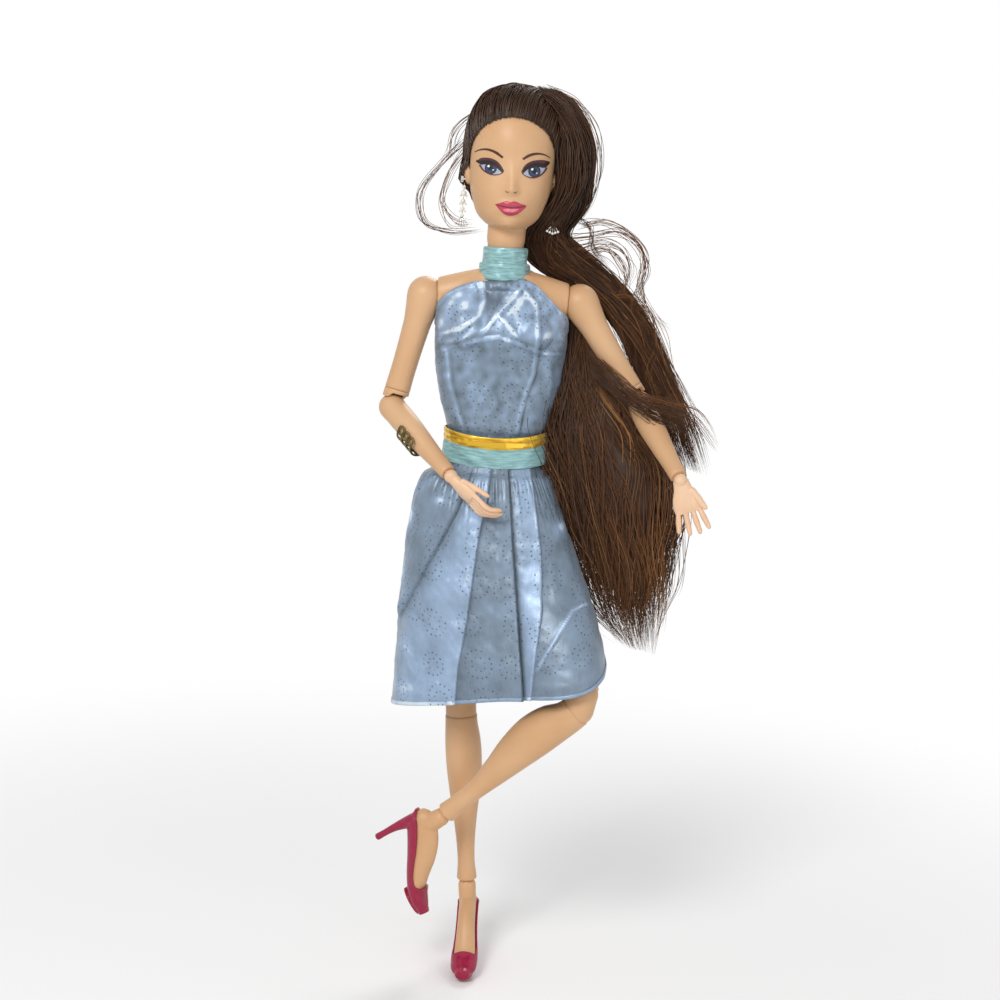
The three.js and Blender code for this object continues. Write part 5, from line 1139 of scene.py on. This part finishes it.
# Loose curls that stand off the head: picture points with a depth
CURLS = [
    [(466, 140, 0), (440, 165, -2), (420, 197, -4), (424, 222, -4), (450, 232, -3), (480, 230, -1)],
    [(464, 150, 0), (447, 178, -3), (441, 205, -4), (452, 222, -4), (470, 226, -3)],
    [(480, 108, 0), (455, 130, -1), (448, 160, -2)],
    [(560, 238, 8), (590, 236, 6), (620, 232, 4), (642, 248, 4), (646, 270, 5), (634, 300, 8),
     (632, 322, 10)],
    [(556, 244, 8), (580, 248, 6), (606, 243, 4), (624, 252, 4), (632, 272, 5), (622, 292, 7)],
    [(580, 258, 9), (592, 252, 7), (605, 249, 5), (620, 262, 4), (626, 282, 5), (618, 300, 8)],
    [(580, 225, 6), (602, 222, 5), (628, 234, 4), (645, 258, 4), (640, 284, 6), (648, 310, 8), (668, 330, 9)],
    [(573, 215, 5), (592, 228, 4), (594, 248, 5), (610, 268, 7)],
    [(545, 88, 2), (575, 100, 2), (594, 128, 2), (599, 165, 2), (592, 200, 3), (578, 226, 5)],
    [(600, 300, 10), (628, 296, 9), (650, 316, 9), (655, 346, 9), (646, 372, 9), (660, 396, 8)],
]
g = np.random.default_rng(31)
paths = []
for curl in CURLS:
    key = np.array([at_depth(*q) for q in curl])
    for _ in range(10):
        paths.append(smooth_line(key + g.normal(size=3) * .55 + g.normal(size=key.shape) * .5, 34))
strands("hair_curls", np.array(paths), .09, g.normal(.68, .14, (len(paths), 1)), "head")

# The cap: a dark base on the skull, as painted shade under the hair, and combed strands over it
SCALP_MIDDLE = np.array([0, -.4, 94.5])
CAP_LEVELS, CAP_SIDES, CAP_STRANDS, BACK_STRANDS = 80, 120, 1900, 900


def cap_edge(angle):
    """Height of the hairline round the head, from the ears over the forehead."""
    return 82 + 25.4 * np.clip(-np.sin(angle), 0, 1) ** .5 - 7 * np.clip(np.sin(angle), 0, 1) ** .6


edge = cap_edge(round_angles(CAP_SIDES))
verts, faces = rings_mesh(head_rings(CAP_LEVELS, CAP_SIDES, .35))
faces = [f for f in faces if len(f) == 4 and all(verts[q][2] > edge[q % CAP_SIDES] for q in f)]
faces.append([(CAP_LEVELS - 1) * CAP_SIDES + q for q in range(CAP_SIDES)])
used = sorted({q for f in faces for q in f})
remap = {q: i for i, q in enumerate(used)}
# tone .08, near the darkest: painted shade under the strands
cap = make("hair_cap_base", at_head(verts[used]), [[remap[q] for q in f] for f in faces], hair,
           attributes={"tone": np.full(len(used), .08)})
worn(cap, "head", "hair", "hair_cap")


def on_scalp(points, lift):
    """Points pushed on to the skull along lines from its middle, with a lift each."""
    middle = Vector(at_head(SCALP_MIDDLE))
    out = []
    for q, up in zip(points, lift):
        way = Vector(unit(head_place.r @ (q - SCALP_MIDDLE)))
        hit = head_tree.ray_cast(middle + way * 40, -way)[0]
        out.append(np.array(hit) + np.array(way) * up)
    return np.array(out)


def combed(count, seed):
    """Strands from the hairline and the scalp over the skull to the side where the hair falls."""
    g = np.random.default_rng(seed)
    t = np.linspace(0, 1, 22)[:, None]
    paths = []
    for _ in range(count):
        turn = math.radians(-90 + g.uniform(-1, 1) * 118)
        row = 0 if g.random() < .45 else g.random() * 20
        high = cap_edge(turn) + row + g.normal() * .25
        start = np.array([math.cos(turn) * 14, math.sin(turn) * 13.4, high])
        shift = g.normal(size=3) * [3.5, 3.5, 4.5]
        finish = np.array([15, 9.5, 103]) + shift
        over = np.array([start[0] * .9 + 2, 4, 121])
        line = (1 - t) ** 2 * start + 2 * t * (1 - t) * over + t**2 * finish
        volume = g.uniform(.1, 1) ** 1.3 * 3.4
        lift = .42 + volume * np.sin(t[:, 0] * math.pi) ** .8 + g.uniform(.2, 1.6) * t[:, 0]
        path = on_scalp(line, lift)
        path += g.normal(size=3) * .12 + .2 * np.sin(t * g.uniform(6, 14) + g.random(3) * 6)
        paths.append(path)
    return np.array(paths)


def swept(count, seed):
    """Strands from the back of the head, down and round to the neck, that join the fall."""
    g = np.random.default_rng(seed)
    rows = smooth_rows(FALL, np.array([.4, .47, .56, .66, .76]))[:, 1:]
    paths = []
    for _ in range(count):
        turn, high = math.radians(g.uniform(-12, 178)), g.uniform(78, 113)
        rim = math.sqrt(max(0.05, 1 - ((high - 94.5) / 21) ** 2)) * 14
        near = math.radians(30 + .45 * math.degrees(turn))
        keys = [[math.cos(turn) * rim, math.sin(turn) * rim, high],
                [math.cos(.5 * (turn + near)) * 14, math.sin(.5 * (turn + near)) * 14, .5 * (high + 90)],
                [math.cos(near) * 13, math.sin(near) * 13, 84 + .1 * (high - 86)]]
        scalp = on_scalp(np.array(keys), [.5, g.uniform(.8, 2.6), g.uniform(1, 3)])
        r, q = math.sqrt(g.random()) * .8, g.random() * 2 * math.pi
        tail = rows[:, :3] + r * math.cos(q) * rows[:, 3:6] + r * math.sin(q) * rows[:, 6:9]
        tail = tail[:g.integers(3, 6)]
        path = smooth_line(np.concatenate([scalp, tail]), 40)
        path += .5 * np.sin(np.linspace(0, g.uniform(8, 20), 40)[:, None] + g.random(3) * 6)
        paths.append(path)
    return np.array(paths)


cap_tone, back_tone = (np.random.default_rng(seed).normal(middle, .13, (count, 1))
                       for seed, middle, count in ((9, .22, CAP_STRANDS), (13, .25, BACK_STRANDS)))
strands("hair_cap_strands", combed(CAP_STRANDS, 8), .2, cap_tone, "head")
strands("hair_back_strands", swept(BACK_STRANDS, 12), .22, back_tone, NECK_BLEND)

# Dress

# Folds as lines of picture points that run down: how far the cloth stands out on the left and sinks on the
# right of the line (mm), how wide each side is (pixels), and where along the line the fold fades in and out
SKIRT_FOLDS = [
    ([(466, 488), (457, 512), (437.5, 547), (418, 583), (396, 624)], 1.5, 1.0, 34, 12, (-.25, .05, .9, 1.15)),
    ([(491, 470), (487, 500), (480, 530), (474, 570), (467, 620), (458, 668), (455, 702)], .8, .55, 26, 14,
     (-.1, .15, 1.2, 2)),
    ([(508, 466), (510, 500), (512, 540), (516, 600), (520, 660), (523, 706)], 1.1, 1.5, 26, 7,
     (-.05, .12, 1.2, 2)),
    ([(529, 462), (535, 505), (541, 560), (541.5, 612), (536, 650), (530, 706)], .95, .5, 9, 12,
     (-.05, .12, 1.2, 2)),
    ([(551, 462), (560, 500), (568, 540), (574, 580)], .35, .3, 14, 10, (-.1, .2, .6, 1)),
    ([(447, 466), (432, 482), (412, 494)], .6, .35, 12, 8, (0, .2, .8, 1.1)),
    ([(432, 486), (416, 520), (405, 560), (400, 590)], .35, .3, 12, 8, (-.1, .2, .7, 1.1)),
]
SKIRT_RIDGES = [([(587, 603), (573, 610), (556, 638), (537, 670)], .5, 1.7),
                ([(452, 640), (430, 672), (404, 690)], .3, 3), ([(560, 520), (552, 560), (556, 600)], .3, 4),
                ([(500, 520), (497, 600), (505, 680)], .3, 6)]
BODICE_RIDGES = [
    ([(522, 286), (511, 300), (499, 313), (484, 332)], .55, 2.2),
    ([(481, 283), (484, 300), (479, 316), (457, 333)], .5, 2.4),
    ([(442, 349), (462, 345), (487, 339), (500, 337.5), (520, 345), (535, 352), (557, 355)], .6, 2.2),
    ([(499, 316), (508, 326), (518, 338)], .45, 2),
    ([(523, 290), (536, 306), (537, 330), (536, 350)], .35, 2.4),
    ([(535, 352), (532, 375), (524, 395), (519, 415), (516, 432)], .35, 1.6),
    ([(470, 322), (455, 330), (441, 334)], .35, 2), ([(476, 330), (462, 339), (445, 343)], .3, 1.8),
    ([(447, 352), (450, 385), (462, 425)], .2, 3), ([(545, 356), (548, 385), (540, 425)], .25, 3),
    ([(478, 352), (474, 390), (480, 430)], .25, 6), ([(503, 350), (500, 400), (500, 430)], -.2, 7),
]
# The darker wedge at the top of the bodice's middle, where the cloth sinks: painted shade
WEDGE = [(484, 279), (518, 279), (500, 306), (486, 328)]
WEDGE_FULL, WEDGE_END = 325, 340
# The level of the seam under the bust; above it the bodice is lighter with painted sheen
BUST_SEAM = 345
# Spots of painted highlight: x, y, half width, half height, amount; those below 0 are painted shade
SKIRT_SPOTS = [(440, 500, 7, 5, .6), (410, 512, 4, 16, .75), (402, 560, 4, 34, .75), (561, 527, 7, 7, .6),
               (535, 560, 4, 34, .1), (420, 560, 9, 30, -.15), (412, 688, 8, 6, .15)]
BODICE_SPOTS = [(455, 305, 12, 12, .25), (518, 312, 12, 14, .3), (474, 385, 6, 45, .22),
                (548, 345, 6, 16, .35), (438, 378, 4, 14, .4), (505, 385, 12, 40, -.1),
                (438, 330, 4, 10, .35)]
# Where the front, which follows the picture, passes into the sides: as the sine of the angle
SKIRT_FRONT, BODICE_FRONT = (-.05, .3), (0, .35)


def folded(px, py, lines):
    """How far folds lift or sink the cloth at picture points."""
    out = np.zeros(px.shape)
    for line, up, down, wide, narrow, (a, b, c, d) in lines:
        s, t = beside(line, px, py)
        step = 1 / (1 + np.exp(-np.clip(s / .55, -40, 40)))
        left = (1 - step) * up * np.exp(np.minimum(s, 0) / wide)
        right = step * down * np.exp(-np.maximum(s, 0) / narrow)
        out += (left - right) * ease(t, a, b) * (1 - ease(t, c, d))
    return out


def ridged(px, py, lines):
    """How far narrow ridges lift the cloth at picture points."""
    out = np.zeros(px.shape)
    for line, up, wide in lines:
        s, t = beside(line, px, py)
        out += up * np.exp(-(s / wide) ** 2) * within(t, .12)
    return out


def spots(px, py, rows):
    """Soft spots of light in the picture: x, y, half width, half height, amount."""
    return sum(amount * np.exp(-((px - x) / wide) ** 2 - ((py - y) / high) ** 2)
               for x, y, wide, high, amount in rows)


def within(place, fade):
    """1 along a line, which fades out at and beyond its ends."""
    return ease(place, -fade, .05) * (1 - ease(place, .95, 1 + fade))


def crumple(a, b, seed, scale, waves=14):
    """Small irregular waves over a surface given by two lengths in millimetres."""
    g = np.random.default_rng(seed)
    out = np.zeros(np.broadcast(a, b).shape)
    for _ in range(waves):
        turn, length = g.uniform(0, math.pi), scale * g.uniform(.6, 1.8)
        out += np.sin((a * math.cos(turn) + b * math.sin(turn)) * 2 * math.pi / length + g.uniform(0, 6.28))
    return out / math.sqrt(waves)


# The skirt's height at the waist and at its hem on the right, over the raised left thigh and in front
SKIRT_TOP, HEM_RIGHT, HEM_LEFT, HEM_FRONT = -9.9, -90.8, -72, -86.2
WAIST_HALF, WAIST_DEEP, FLARE_HALF, FLARE_DEEP = 18.3, 13.6, 14.9, 7.9


def skirt_form(angle, down, out=0.0):
    """The skirt without its folds: out of the waistband, over the hips and the raised left thigh."""
    d = np.maximum(down, 0)
    rightness = (1 - np.cos(angle)) / 2
    spread = np.power(np.maximum(d, 1e-6), .72 + (.27 - .72) * rightness)
    turn = np.arctan2(np.sin(angle + .7), np.cos(angle + .7))
    side = np.arctan2(np.sin(angle + .3), np.cos(angle + .3))
    low = HEM_RIGHT * rightness + HEM_LEFT * (1 - rightness) + 6.5 * np.exp(-side**2 / .3)
    front = np.maximum(0, -np.sin(angle)) * .35
    hem = low * (1 - front) + HEM_FRONT * front
    knee = 12.2 * np.exp(-turn**2 / .32) * d**2 * (3 - 2 * d)
    wide = WAIST_HALF + FLARE_HALF * spread - 1.5 * (1 - rightness) * spread
    deep = WAIST_DEEP + FLARE_DEEP * spread
    tuck = 2.2 * ease(-down, -.02, .07)
    r = knee + out - tuck
    over_knee = 6.5 * np.exp(-np.arctan2(np.sin(angle + .72), np.cos(angle + .72))**2 / .16) * ease(d, .45, 1)
    y = -6.2 * d + (deep + r) * np.sin(angle) - over_knee
    z = SKIRT_TOP + (hem - SKIRT_TOP) * down - .25 * over_knee
    return np.stack([2.8 * d + (wide + r) * np.cos(angle), y, z], -1)


def skirt_point(angle, down):
    """The skirt with the picture's folds in front, pleats behind and gathers below the waist."""
    form = skirt_form(angle, down)
    px, py = seen_at(form)
    d = np.clip(down, 0, 1)
    front = ease(-np.sin(angle), *SKIRT_FRONT)
    photo = folded(px, py, SKIRT_FOLDS) + ridged(px, py, SKIRT_RIDGES)
    pleat = (angle * 11 / (2 * math.pi) + .12 * np.sin(angle * 3)) % 1
    behind = (1.5 * ease(pleat, 0, .12) * (1 - pleat) - .5) * (.25 + .75 * ease(d, 0, .5))
    gather = .17 * np.sin(57 * angle) + .14 * np.sin(37 * angle + 1) + .12 * np.sin(91 * angle + 2)
    gather = gather * np.exp(-d * 10)
    soft = .17 * crumple(angle * 24, down * 80, 5, 15) + .05 * crumple(angle * 24, down * 80, 6, 4)
    rim = .3 * ease(d, .983, .987)
    out = front * photo + (1 - front) * behind + (gather + soft) * ease(d, -.01, .04) + rim
    return skirt_form(angle, down, out)


def skirt_shade(points, angle, down):
    """How light the cloth is, from 0 to 1, in painted light and shade: its panels turn to or away from the
    light, painted shade lies beside the folds, and spots and lines of painted highlight lie on it.
    """
    px, py = seen_at(points)
    lines = [beside(f[0], px, py)[0] for f in SKIRT_FOLDS[:4]]
    shade = .4 + .36 * ease(lines[0], -1, 1) - .5 * ease(lines[1], -1, 1) + .1 * ease(lines[1], 8, 26)
    shade += .4 * ease(lines[2], 1, 6) - .46 * ease(lines[3], -1, 1) + .08 * ease(lines[3], 10, 40)
    # painted shade in the crease on the right of each of the first four folds
    for line, (dark, reach) in zip(lines, ((.75, 4.5), (.3, 2.5), (.7, 4.5), (.2, 2.5))):
        shade -= dark * np.exp(-np.maximum(line, 0) / reach) * (line > -1)
    # spots of painted highlight, and of painted shade where the amount is below 0
    shade += spots(px, py, SKIRT_SPOTS)
    # lines of painted highlight along a bright ridge and two fold edges
    for line, amount, wide in ((SKIRT_RIDGES[0][0], .6, 1.6), (SKIRT_FOLDS[3][0], .3, 1.2),
                               (SKIRT_FOLDS[5][0], .3, 4)):
        s, t = beside(line, px, py)
        shade += amount * np.exp(-(s / wide) ** 2) * within(t, .05)
    # behind, painted light and shade alternate with the pleats; the hem is lighter
    front = ease(-np.sin(angle), *SKIRT_FRONT)
    return front * shade + (1 - front) * (.5 + .12 * np.sin(angle * 11)) + .35 * ease(down, .983, .987)


def surface(name, fn, down, sides, material, shade, thickness):
    """A sheet of cloth round the body by angle and by its share of the way down, unrolled in its UV map."""
    aa, dd = np.meshgrid(round_angles(sides), down)
    p = fn(aa, dd)
    p, aa, dd = (np.concatenate([q, q[:, :1]], 1) for q in (p, aa, dd))
    steps = np.linalg.norm(np.diff(p, axis=1), axis=2)
    across = np.concatenate([np.zeros((len(down), 1)), np.cumsum(steps, 1)], 1)
    across = across - across[:, -1:] / 2
    steps = np.linalg.norm(np.diff(p, axis=0), axis=2)
    along = np.concatenate([np.zeros((1, sides + 1)), np.cumsum(steps, 0)], 0)
    verts, faces = rings_mesh(p, close_ends=False, wrap=False)
    obj = make(name, verts, faces, material, uv=np.stack([across, along], -1).reshape(-1, 2),
               attributes={"shade": np.clip(shade(p, aa, dd).ravel(), 0, 1)})
    thick = obj.modifiers.new("thick", "SOLIDIFY")
    thick.thickness, thick.offset = thickness * MM, 0
    return obj


HEM_ROWS = [.9825, .9835, .985, .9865, .9875]
SKIRT_ROWS = np.sort(np.concatenate([np.linspace(-.07, 1, 130), HEM_ROWS]))
skirt = surface("skirt_cloth", skirt_point, SKIRT_ROWS, 1000, satin, skirt_shade, .45)
worn(skirt, ("pelvis", "left_hip_hub", (.002, .002, -.02), (.032, -.028, -.044)), "satin", "skirt")


def around_torso(angle, z):
    """Points on the torso's skin by angle and height."""
    out = np.zeros(angle.shape + (3,))
    for k in np.ndindex(angle.shape):
        d = np.array([math.cos(angle[k]), math.sin(angle[k]), 0])
        level = np.array([0, 0, z[k]])
        hit = torso_tree.ray_cast(Vector(level + d * 60), Vector(-d))[0]
        out[k] = hit if hit is not None else level + d * 5
    return out


# The halter's edge in the picture, from the collar to the underarm on each side
ARMHOLES = [[(521, 279), (530, 283), (540, 292), (548, 302), (557, 311), (565, 320), (566, 327)],
            [(481, 281), (470, 284), (457, 289), (446, 298), (438, 309), (435, 319), (436, 327)]]


def armhole_table():
    """Height of the halter's edge by angle, from the picture at the front and mirrored to the back."""
    table = []
    for line in ARMHOLES:
        for px, py in smooth_line(line, 14):
            hit = torso_tree.ray_cast(Vector(CAM_AT), Vector(unit(ray(px, py))))[0]
            if hit is not None:
                table.append((math.atan2(hit[1], hit[0]), hit[2]))
    table = [(a % (2 * math.pi), z) for a, z in table]
    table += [(-a % (2 * math.pi), min(z, 52)) for a, z in table]
    ends = [(0, 38.4), (math.pi, 38.4), (2 * math.pi, 38.4), (math.pi / 2, 54.2), (3 * math.pi / 2, 54.6)]
    return np.array(sorted(table + ends))


TOP = armhole_table()


def wedge(px, py):
    """1 inside the wedge at the top of the bodice's middle, 0 outside it."""
    s = np.minimum(beside([WEDGE[0], WEDGE[3]], px, py)[0], -beside(WEDGE[1:], px, py)[0])
    return ease(s, -1, 3) * ease(py, WEDGE_END, WEDGE_FULL)


def bodice_surface(angle, up):
    """The bodice by angle and share of its height, over the torso, with the picture's seams and creases."""
    top = np.interp(angle, TOP[:, 0], TOP[:, 1])
    for _ in range(3):
        top = (np.roll(top, 1, 1) + top + np.roll(top, -1, 1)) / 3
    z = 2.2 + (top - 2.2) * up
    p = around_torso(angle, np.maximum(z, 5.4))
    p[..., 2] = z
    px, py = seen_at(p)
    front = ease(-np.sin(angle), *BODICE_FRONT)
    out = .95 + front * (ridged(px, py, BODICE_RIDGES) - .35 * wedge(px, py))
    out += .1 * crumple(angle * 18, z, 15, 7) + .05 * crumple(angle * 18, z, 16, 3)
    out += .35 * ease(up, .965, .98) - .75 * ease(-z, -5.2, -3)
    d = np.stack([np.cos(angle), np.sin(angle), 0 * angle], -1)
    return p + d * out[..., None]


def bodice_shade(p, angle, up):
    """How light the bodice is, from 0 to 1, in painted light and shade: lighter above the bust seam, ridges
    with a painted highlight and a painted shadow beside them, soft spots of painted highlight, and the
    wedge's painted shade.
    """
    px, py = seen_at(p)
    shade = .42 + .27 * ease(BUST_SEAM - py, 0, 8) - .5 * wedge(px, py)
    for line, _, _ in BODICE_RIDGES[:9]:
        q, t = beside(line, px, py)
        shade += (.35 * np.exp(-(q / 2.0) ** 2) - .22 * np.exp(-((q - 4) / 2.2) ** 2)) * within(t, .08)
    shade += spots(px, py, BODICE_SPOTS) + .12 * crumple(px, py, 44, 14)
    front = ease(-np.sin(angle), *BODICE_FRONT)
    return front * shade + (1 - front) * .5


bodice = surface("bodice_cloth", bodice_surface, np.linspace(0, 1, 110), 400, bodice_satin, bodice_shade, .4)
worn(bodice, ("waist", "chest", (0, 0, .004), (0, 0, .011)), "satin", "bodice")


def lathe(name, outline, material, body, node, slot, wobble, centre=(0, 0, 0), squeeze=1.0, rise=None):
    """A band turned from an outline of radii and heights, then creased, squeezed and raised."""
    sides = 240
    p = smooth_rows(np.column_stack([np.arange(len(outline)), outline]), len(outline) * 6)[:, 1:]
    a = np.linspace(0, 2 * math.pi, sides + 1)
    r = p[:, 0:1] + wobble(a[None, :], p[:, 1:2])
    z = np.repeat(p[:, 1:2], sides + 1, 1) + (rise(a)[None, :] if rise else 0)
    pts = np.stack([r * np.cos(a), r * np.sin(a) * squeeze, z], -1) + np.array(centre)
    run = np.concatenate([[0], np.cumsum(np.linalg.norm(np.diff(p, axis=0), axis=1))])
    uv = np.stack(np.meshgrid(a * p[:, 0].mean(), run), -1).reshape(-1, 2)
    verts, faces = rings_mesh(pts, close_ends=False, wrap=False)
    return worn(make(name, verts, faces, material, uv=uv), body, slot, node)


def waist_rise(a):
    """The waist's trims sit higher at the sides and back than in front."""
    return 2.0 * (1 - np.clip(-np.sin(a), 0, 1) ** 1.5)


def creases(a, z):
    """Fine folds round a band."""
    return .1 * np.sin(a * 9 + z) + .08 * crumple(a * 8, z, 51, 5)


collar = lathe("collar_cloth", [(6.75, 65.2), (7.1, 65.6), (7.45, 64.9), (7.5, 63.5), (7.4, 62), (7.5, 60.4),
                                (8.2, 60.2), (8.55, 59), (8.5, 57), (8.6, 55.4), (8.2, 54.5), (7.4, 54.8)],
               teal, "chest", "collar", "teal_trim", creases, (0, .6, 0))
band = lathe("waistband_cloth", [(16.3, 1.4), (16.6, 1.7), (17.0, 1.0), (17.5, -1.5), (17.9, -4.5),
                                 (18.1, -7), (18.0, -7.7), (17.5, -7.6)],
             teal, "pelvis", "waistband", "teal_trim", lambda a, z: 1.4 * creases(a, z), squeeze=.7,
             rise=waist_rise)
belt = lathe("belt_ribbon", [(17.2, 2.7), (17.6, 2.6), (17.75, 1.7), (17.6, .7), (17.75, -.3), (17.6, -1.2),
                             (17.2, -1.3)],
             ribbon, "pelvis", "belt", "gold_ribbon", lambda a, z: .05 * np.sin(a * 31 + z), squeeze=.7,
             rise=lambda a: waist_rise(a) * 1.05)
dress_node("belt_bar", ribbon)

# Stage, lights and camera
def floor_paint():
    """Pale floor near the object, where it catches the shadow, that passes into plain white further out."""
    m = Mat("floor", Roughness=0.9, Specular_IOR_Level=0.1)
    m.colour(m.mix(m.noise(3, 2.0), "#F4F4F4", "#F9F9F9"))
    place = m.node("SeparateXYZ", {0: m.coord()}).outputs
    fade = m.node("MapRange", {0: m.length(place[0], place[1]), 1: FLOOR_NEAR * MM, 2: FLOOR_FAR * MM},
                  interpolation_type="SMOOTHSTEP").outputs[0]
    glow = m.node("Emission", {"Color": (1, 1, 1, 1), "Strength": 1.0})
    m.choose(m.times(fade, m.plain_view()), m.shader, glow)
    return m.mat


FLOOR_Z, FLOOR_HALF, FLOOR_NEAR, FLOOR_FAR = -183.2, 6000, 90, 420
corners = [(sx * FLOOR_HALF, sy * FLOOR_HALF, FLOOR_Z) for sx, sy in ((-1, -1), (1, -1), (1, 1), (-1, 1))]
floor = make("floor", corners, [[0, 1, 2, 3]], floor_paint(), smooth=False)


def lamp(name, at, to, energy, size):
    """A soft square lamp that looks at a point."""
    data = bpy.data.lights.new(name, "AREA")
    data.energy, data.size = energy, size * MM
    obj = bpy.data.objects.new(name, data)
    obj.location = Vector(at) * MM
    obj.rotation_mode = "QUATERNION"
    obj.rotation_quaternion = (Vector(to) - Vector(at)).to_track_quat("-Z", "Y")
    bpy.context.scene.collection.objects.link(obj)


lamp("key", (-260, -620, 420), (0, 0, -20), 3.6, 260)
lamp("fill", (420, -600, 60), (0, 0, -40), 0.8, 420)
lamp("rim", (120, 420, 420), (0, 0, 0), 1.6, 300)

AMBIENT = 0.42
scene = bpy.context.scene
world = bpy.data.worlds.new("world")
scene.world = world
world.use_nodes = True
sky = Nodes(world.node_tree, "World Output")
ambient = sky.tree.nodes["Background"]
for socket, value in zip(ambient.inputs, ((1, 1, 1, 1), AMBIENT)):
    socket.default_value = value
sky.choose(sky.plain_view(), ambient, sky.node("Background", {0: (1, 1, 1, 1), 1: 1.0}))
scene.view_settings.view_transform = "Standard"

SENSOR = 36
camera_data = bpy.data.cameras.new("camera")
camera_data.sensor_width = SENSOR
camera_data.lens = CAM_PX / PICTURE * SENSOR
camera_data.clip_start, camera_data.clip_end = .01, 20
camera = bpy.data.objects.new("camera", camera_data)
scene.collection.objects.link(camera)
columns = np.eye(4)
picture_right = CAM_RIGHT * ROLL_COS + CAM_UP * ROLL_SIN
picture_up = -CAM_RIGHT * ROLL_SIN + CAM_UP * ROLL_COS
columns[:3] = np.column_stack([picture_right, picture_up, -CAM_FWD, CAM_AT * MM])
camera.matrix_world = Matrix(columns.tolist())
scene.camera = camera
